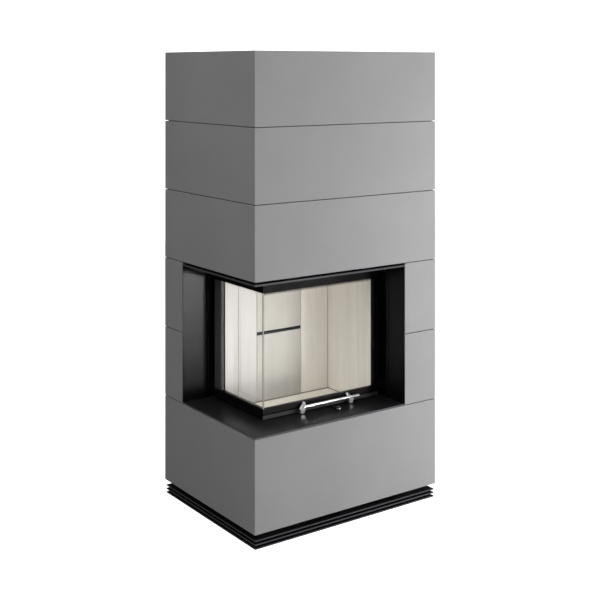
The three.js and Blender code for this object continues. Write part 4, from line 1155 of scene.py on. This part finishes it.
# %% Screws of the top cover
COVER_SCREW_HEAD = (5 * MM, 3 * MM)
COVER_SCREW_INSET = 14 * MM
COVER_SCREW_PITCH = 150 * MM
low, high = (Vector(corner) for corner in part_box("top_cover"))
seated = high.z
first_x, last_x = low.x + COVER_SCREW_INSET, high.x - COVER_SCREW_INSET
first_y, last_y = low.y + COVER_SCREW_INSET, high.y - COVER_SCREW_INSET
along = round((last_x - first_x) / COVER_SCREW_PITCH)
across = round((last_y - first_y) / COVER_SCREW_PITCH)
step_x = (last_x - first_x) / along
step_y = (last_y - first_y) / across
for label, y in (("front", first_y), ("back", last_y)):
    screw_row(f"cover_screws_{label}", (first_x, y, seated), (step_x, 0, 0), along + 1, COVER_SCREW_HEAD)
for label, x in (("left", first_x), ("right", last_x)):
    start = (x, first_y + step_y, seated)
    screw_row(f"cover_screws_{label}", start, (0, step_y, 0), across - 1, COVER_SCREW_HEAD)

# %% [markdown]
# Each pulley bracket stands on a foot plate with a bolt near either end. The plate's place and length come
# from the bracket's box, so that the bolts stay on it when a size of the frame changes.

# %% Bolts of the pulley brackets
BRACKET_BOLT_HEAD = (6.5 * MM, 4 * MM)
BRACKET_BOLT_INSET = 12 * MM
BRACKET_PLATE = 6 * MM
for side_name in ("left", "right"):
    low, high = (Vector(corner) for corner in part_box(f"pulley_bracket_{side_name}"))
    on_plate = low.z + BRACKET_PLATE
    inset = BRACKET_BOLT_INSET
    if side_name == "left":
        start, step = (low.x + inset, high.y - inset, on_plate), (high.x - low.x - 2 * inset, 0, 0)
    else:
        start, step = (high.x - inset, low.y + inset, on_plate), (0, high.y - low.y - 2 * inset, 0)
    screw_row(f"bracket_bolts_{side_name}", start, step, 2, BRACKET_BOLT_HEAD)

# %% [markdown]
# The photograph was taken level from the near left, so uprights stay upright in it. A camera that is tipped
# down would make them converge. This one stands level as well, and its lens is shifted down until the
# fireplace is framed, as a view camera does it. Distance and lens follow from the sizes in the picture.

# %% Camera
CAMERA_PLACE = (-3.0382, -4.2905, 2.0305)
CAMERA_AZIMUTH = math.radians(-35.33)
CAMERA_LENS = 66.41
SENSOR_WIDTH = 36
CAMERA_SHIFT = -0.3885

camera_data = bpy.data.cameras.new("camera")
camera_data.lens = CAMERA_LENS
camera_data.sensor_width = SENSOR_WIDTH
camera_data.shift_y = CAMERA_SHIFT
camera = bpy.data.objects.new("camera", camera_data)
scene.collection.objects.link(camera)
camera.location = CAMERA_PLACE
camera.rotation_euler = (math.pi / 2, 0, CAMERA_AZIMUTH)
scene.camera = camera
print("camera distance", round(camera.location.length, 3), "m, lens", CAMERA_LENS, "mm")

# %% [markdown]
# The light of a plain studio: a tall key light at the front right leaves the left faces darker, a wide one
# overhead gives soft light from above, a low one in front lifts the firebox, and a weak one high at the left
# lifts the left faces. Lit surroundings alone would be simpler, but then no face would differ from the next.
# No lamp stands where the panes would mirror it to the camera, and the overhead one is left out of mirror
# images for the same reason.

# %% Lamps


def area_light(name, location, target, size, watts):
    """Rectangular lamp of `size` (width, height) in metres, aimed at a target."""
    data = bpy.data.lights.new(name, "AREA")
    data.shape = "RECTANGLE"
    data.size, data.size_y = size
    data.energy = watts
    light = bpy.data.objects.new(name, data)
    scene.collection.objects.link(light)
    light.location = location
    aim = Vector(target) - Vector(location)
    light.rotation_euler = aim.to_track_quat("-Z", "Y").to_euler()
    print("lamp", name, watts, "W at", round(aim.length, 2), "m")
    return light


area_light("key", location=(2.2, -1.5, 1.15), target=(0.3, -0.39, 1.05), size=(1.0, 2.6), watts=92)
overhead = area_light("overhead", location=(-0.8, -1.1, 5.2), target=(-0.2, -0.6, 0), size=(5, 5), watts=232)
overhead.visible_glossy = False
area_light("front_fill", location=(1.65, -3.45, 0.46), target=(-0.3, 0.2, 0.8), size=(0.8, 0.35), watts=56)
area_light("side_fill", location=(-3.2, -0.5, 2.9), target=(-0.5, -0.1, 1.0), size=(1.2, 1.0), watts=15)

# %% [markdown]
# A studio backdrop is white to the camera, yet it should neither flood the object with light nor show in its
# black coats. Real studios flag it off with black card. In Blender the kind of ray does that: a Light Path
# node tells looking, mirroring and lighting apart, and each of the three gets its own brightness.

# %% Stage shader
MIRRORED_WHITE = 0.06


def plainly_seen(tree, seen, mirrored, lit):
    """Shader of the stage: as it is looked at, straight or through a pane, as coats mirror it, and as light."""
    path = node(tree, "ShaderNodeLightPath").outputs
    camera_ray, through_glass = path["Is Camera Ray"], path["Is Transmission Ray"]
    looked = node(tree, "ShaderNodeMath", {0: camera_ray, 1: through_glass}, operation="MAXIMUM")
    gloss = node(tree, "ShaderNodeMixShader", {0: path["Is Glossy Ray"], 1: lit, 2: mirrored})
    return node(tree, "ShaderNodeMixShader", {0: looked, 1: gloss, 2: seen})


print("the coats mirror the stage at", MIRRORED_WHITE, "of white")

# %% [markdown]
# The floor is a wide plane, matt and with a glow of its own, so it is white up to the horizon. A world alone
# would be simpler, but then nothing would throw the light of the lamps back up from below. Beneath the
# fireplace the floor must not glow, or it would show as white slits behind the fins, so the glow ends just
# inside the footprint.

# %% Floor
FLOOR_SIZE = 14
FLOOR_GLOW = 0.95
SHADE_MARGIN = 50 * MM

bpy.ops.mesh.primitive_plane_add(size=FLOOR_SIZE, location=(0, 0, 0))
floor = bpy.context.object
floor.name = "floor"
pale = bpy.data.materials.new("pale_floor")
pale.use_nodes = True
ground = pale.node_tree
ground.nodes.clear()
white = node(ground, "ShaderNodeEmission", {"Color": linear("#ffffff"), "Strength": FLOOR_GLOW})
dim = node(ground, "ShaderNodeEmission", {"Color": linear("#ffffff"), "Strength": MIRRORED_WHITE})
matt = node(ground, "ShaderNodeBsdfDiffuse", {"Color": linear("#cccccc")})
bright = node(ground, "ShaderNodeAddShader", {0: white, 1: matt})
spot = node(ground, "ShaderNodeSeparateXYZ", {"Vector": object_coords(ground)}).outputs
covered = []
for axis in (0, 1):
    off = node(ground, "ShaderNodeMath", {0: spot[axis]}, operation="ABSOLUTE")
    edge = cad_high[axis] - SHADE_MARGIN
    covered.append(node(ground, "ShaderNodeMath", {0: off, 1: edge}, operation="LESS_THAN"))
beneath = node(ground, "ShaderNodeMath", {0: covered[0], 1: covered[1]}, operation="MULTIPLY")
shown = node(ground, "ShaderNodeMixShader", {0: beneath, 1: bright, 2: matt})
node(ground, "ShaderNodeOutputMaterial", {"Surface": plainly_seen(ground, shown, dim, matt)})
set_material(floor, pale)
floor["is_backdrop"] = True
print("floor", FLOOR_SIZE, "m wide, shaded up to", round(cad_high[0] - SHADE_MARGIN, 3), "m from the middle")

# %% [markdown]
# Above the floor the backdrop goes on as the world, brighter than white so that no grey is left at the
# horizon. Its own light is weak and even: it only keeps the shadows open. Standard display, without a film
# look, keeps the stone's grey as it was matched.

# %% Backdrop
BACKDROP_WHITE = 1.7
BACKDROP_LIGHT = 0.2

world = bpy.data.worlds.new("studio")
scene.world = world
world.use_nodes = True
sky = world.node_tree
sky.nodes.clear()
seen, mirrored, lit = (
    node(sky, "ShaderNodeBackground", {"Color": linear("#ffffff"), "Strength": strength})
    for strength in (BACKDROP_WHITE, MIRRORED_WHITE, BACKDROP_LIGHT)
)
node(sky, "ShaderNodeOutputWorld", {"Surface": plainly_seen(sky, seen, mirrored, lit)})
scene.view_settings.view_transform = "Standard"
print("backdrop", BACKDROP_WHITE, "seen,", BACKDROP_LIGHT, "as light")

# %% [markdown]
# Last, the size is measured again. The dressed fireplace has to fill the same box as the bare solids, or
# something would stick out of the real size, so the box of the dressed fireplace is printed.

# %% Size and finish
low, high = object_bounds()
print("box", [round(top - bottom, 4) for top, bottom in zip(high, low)], "m")
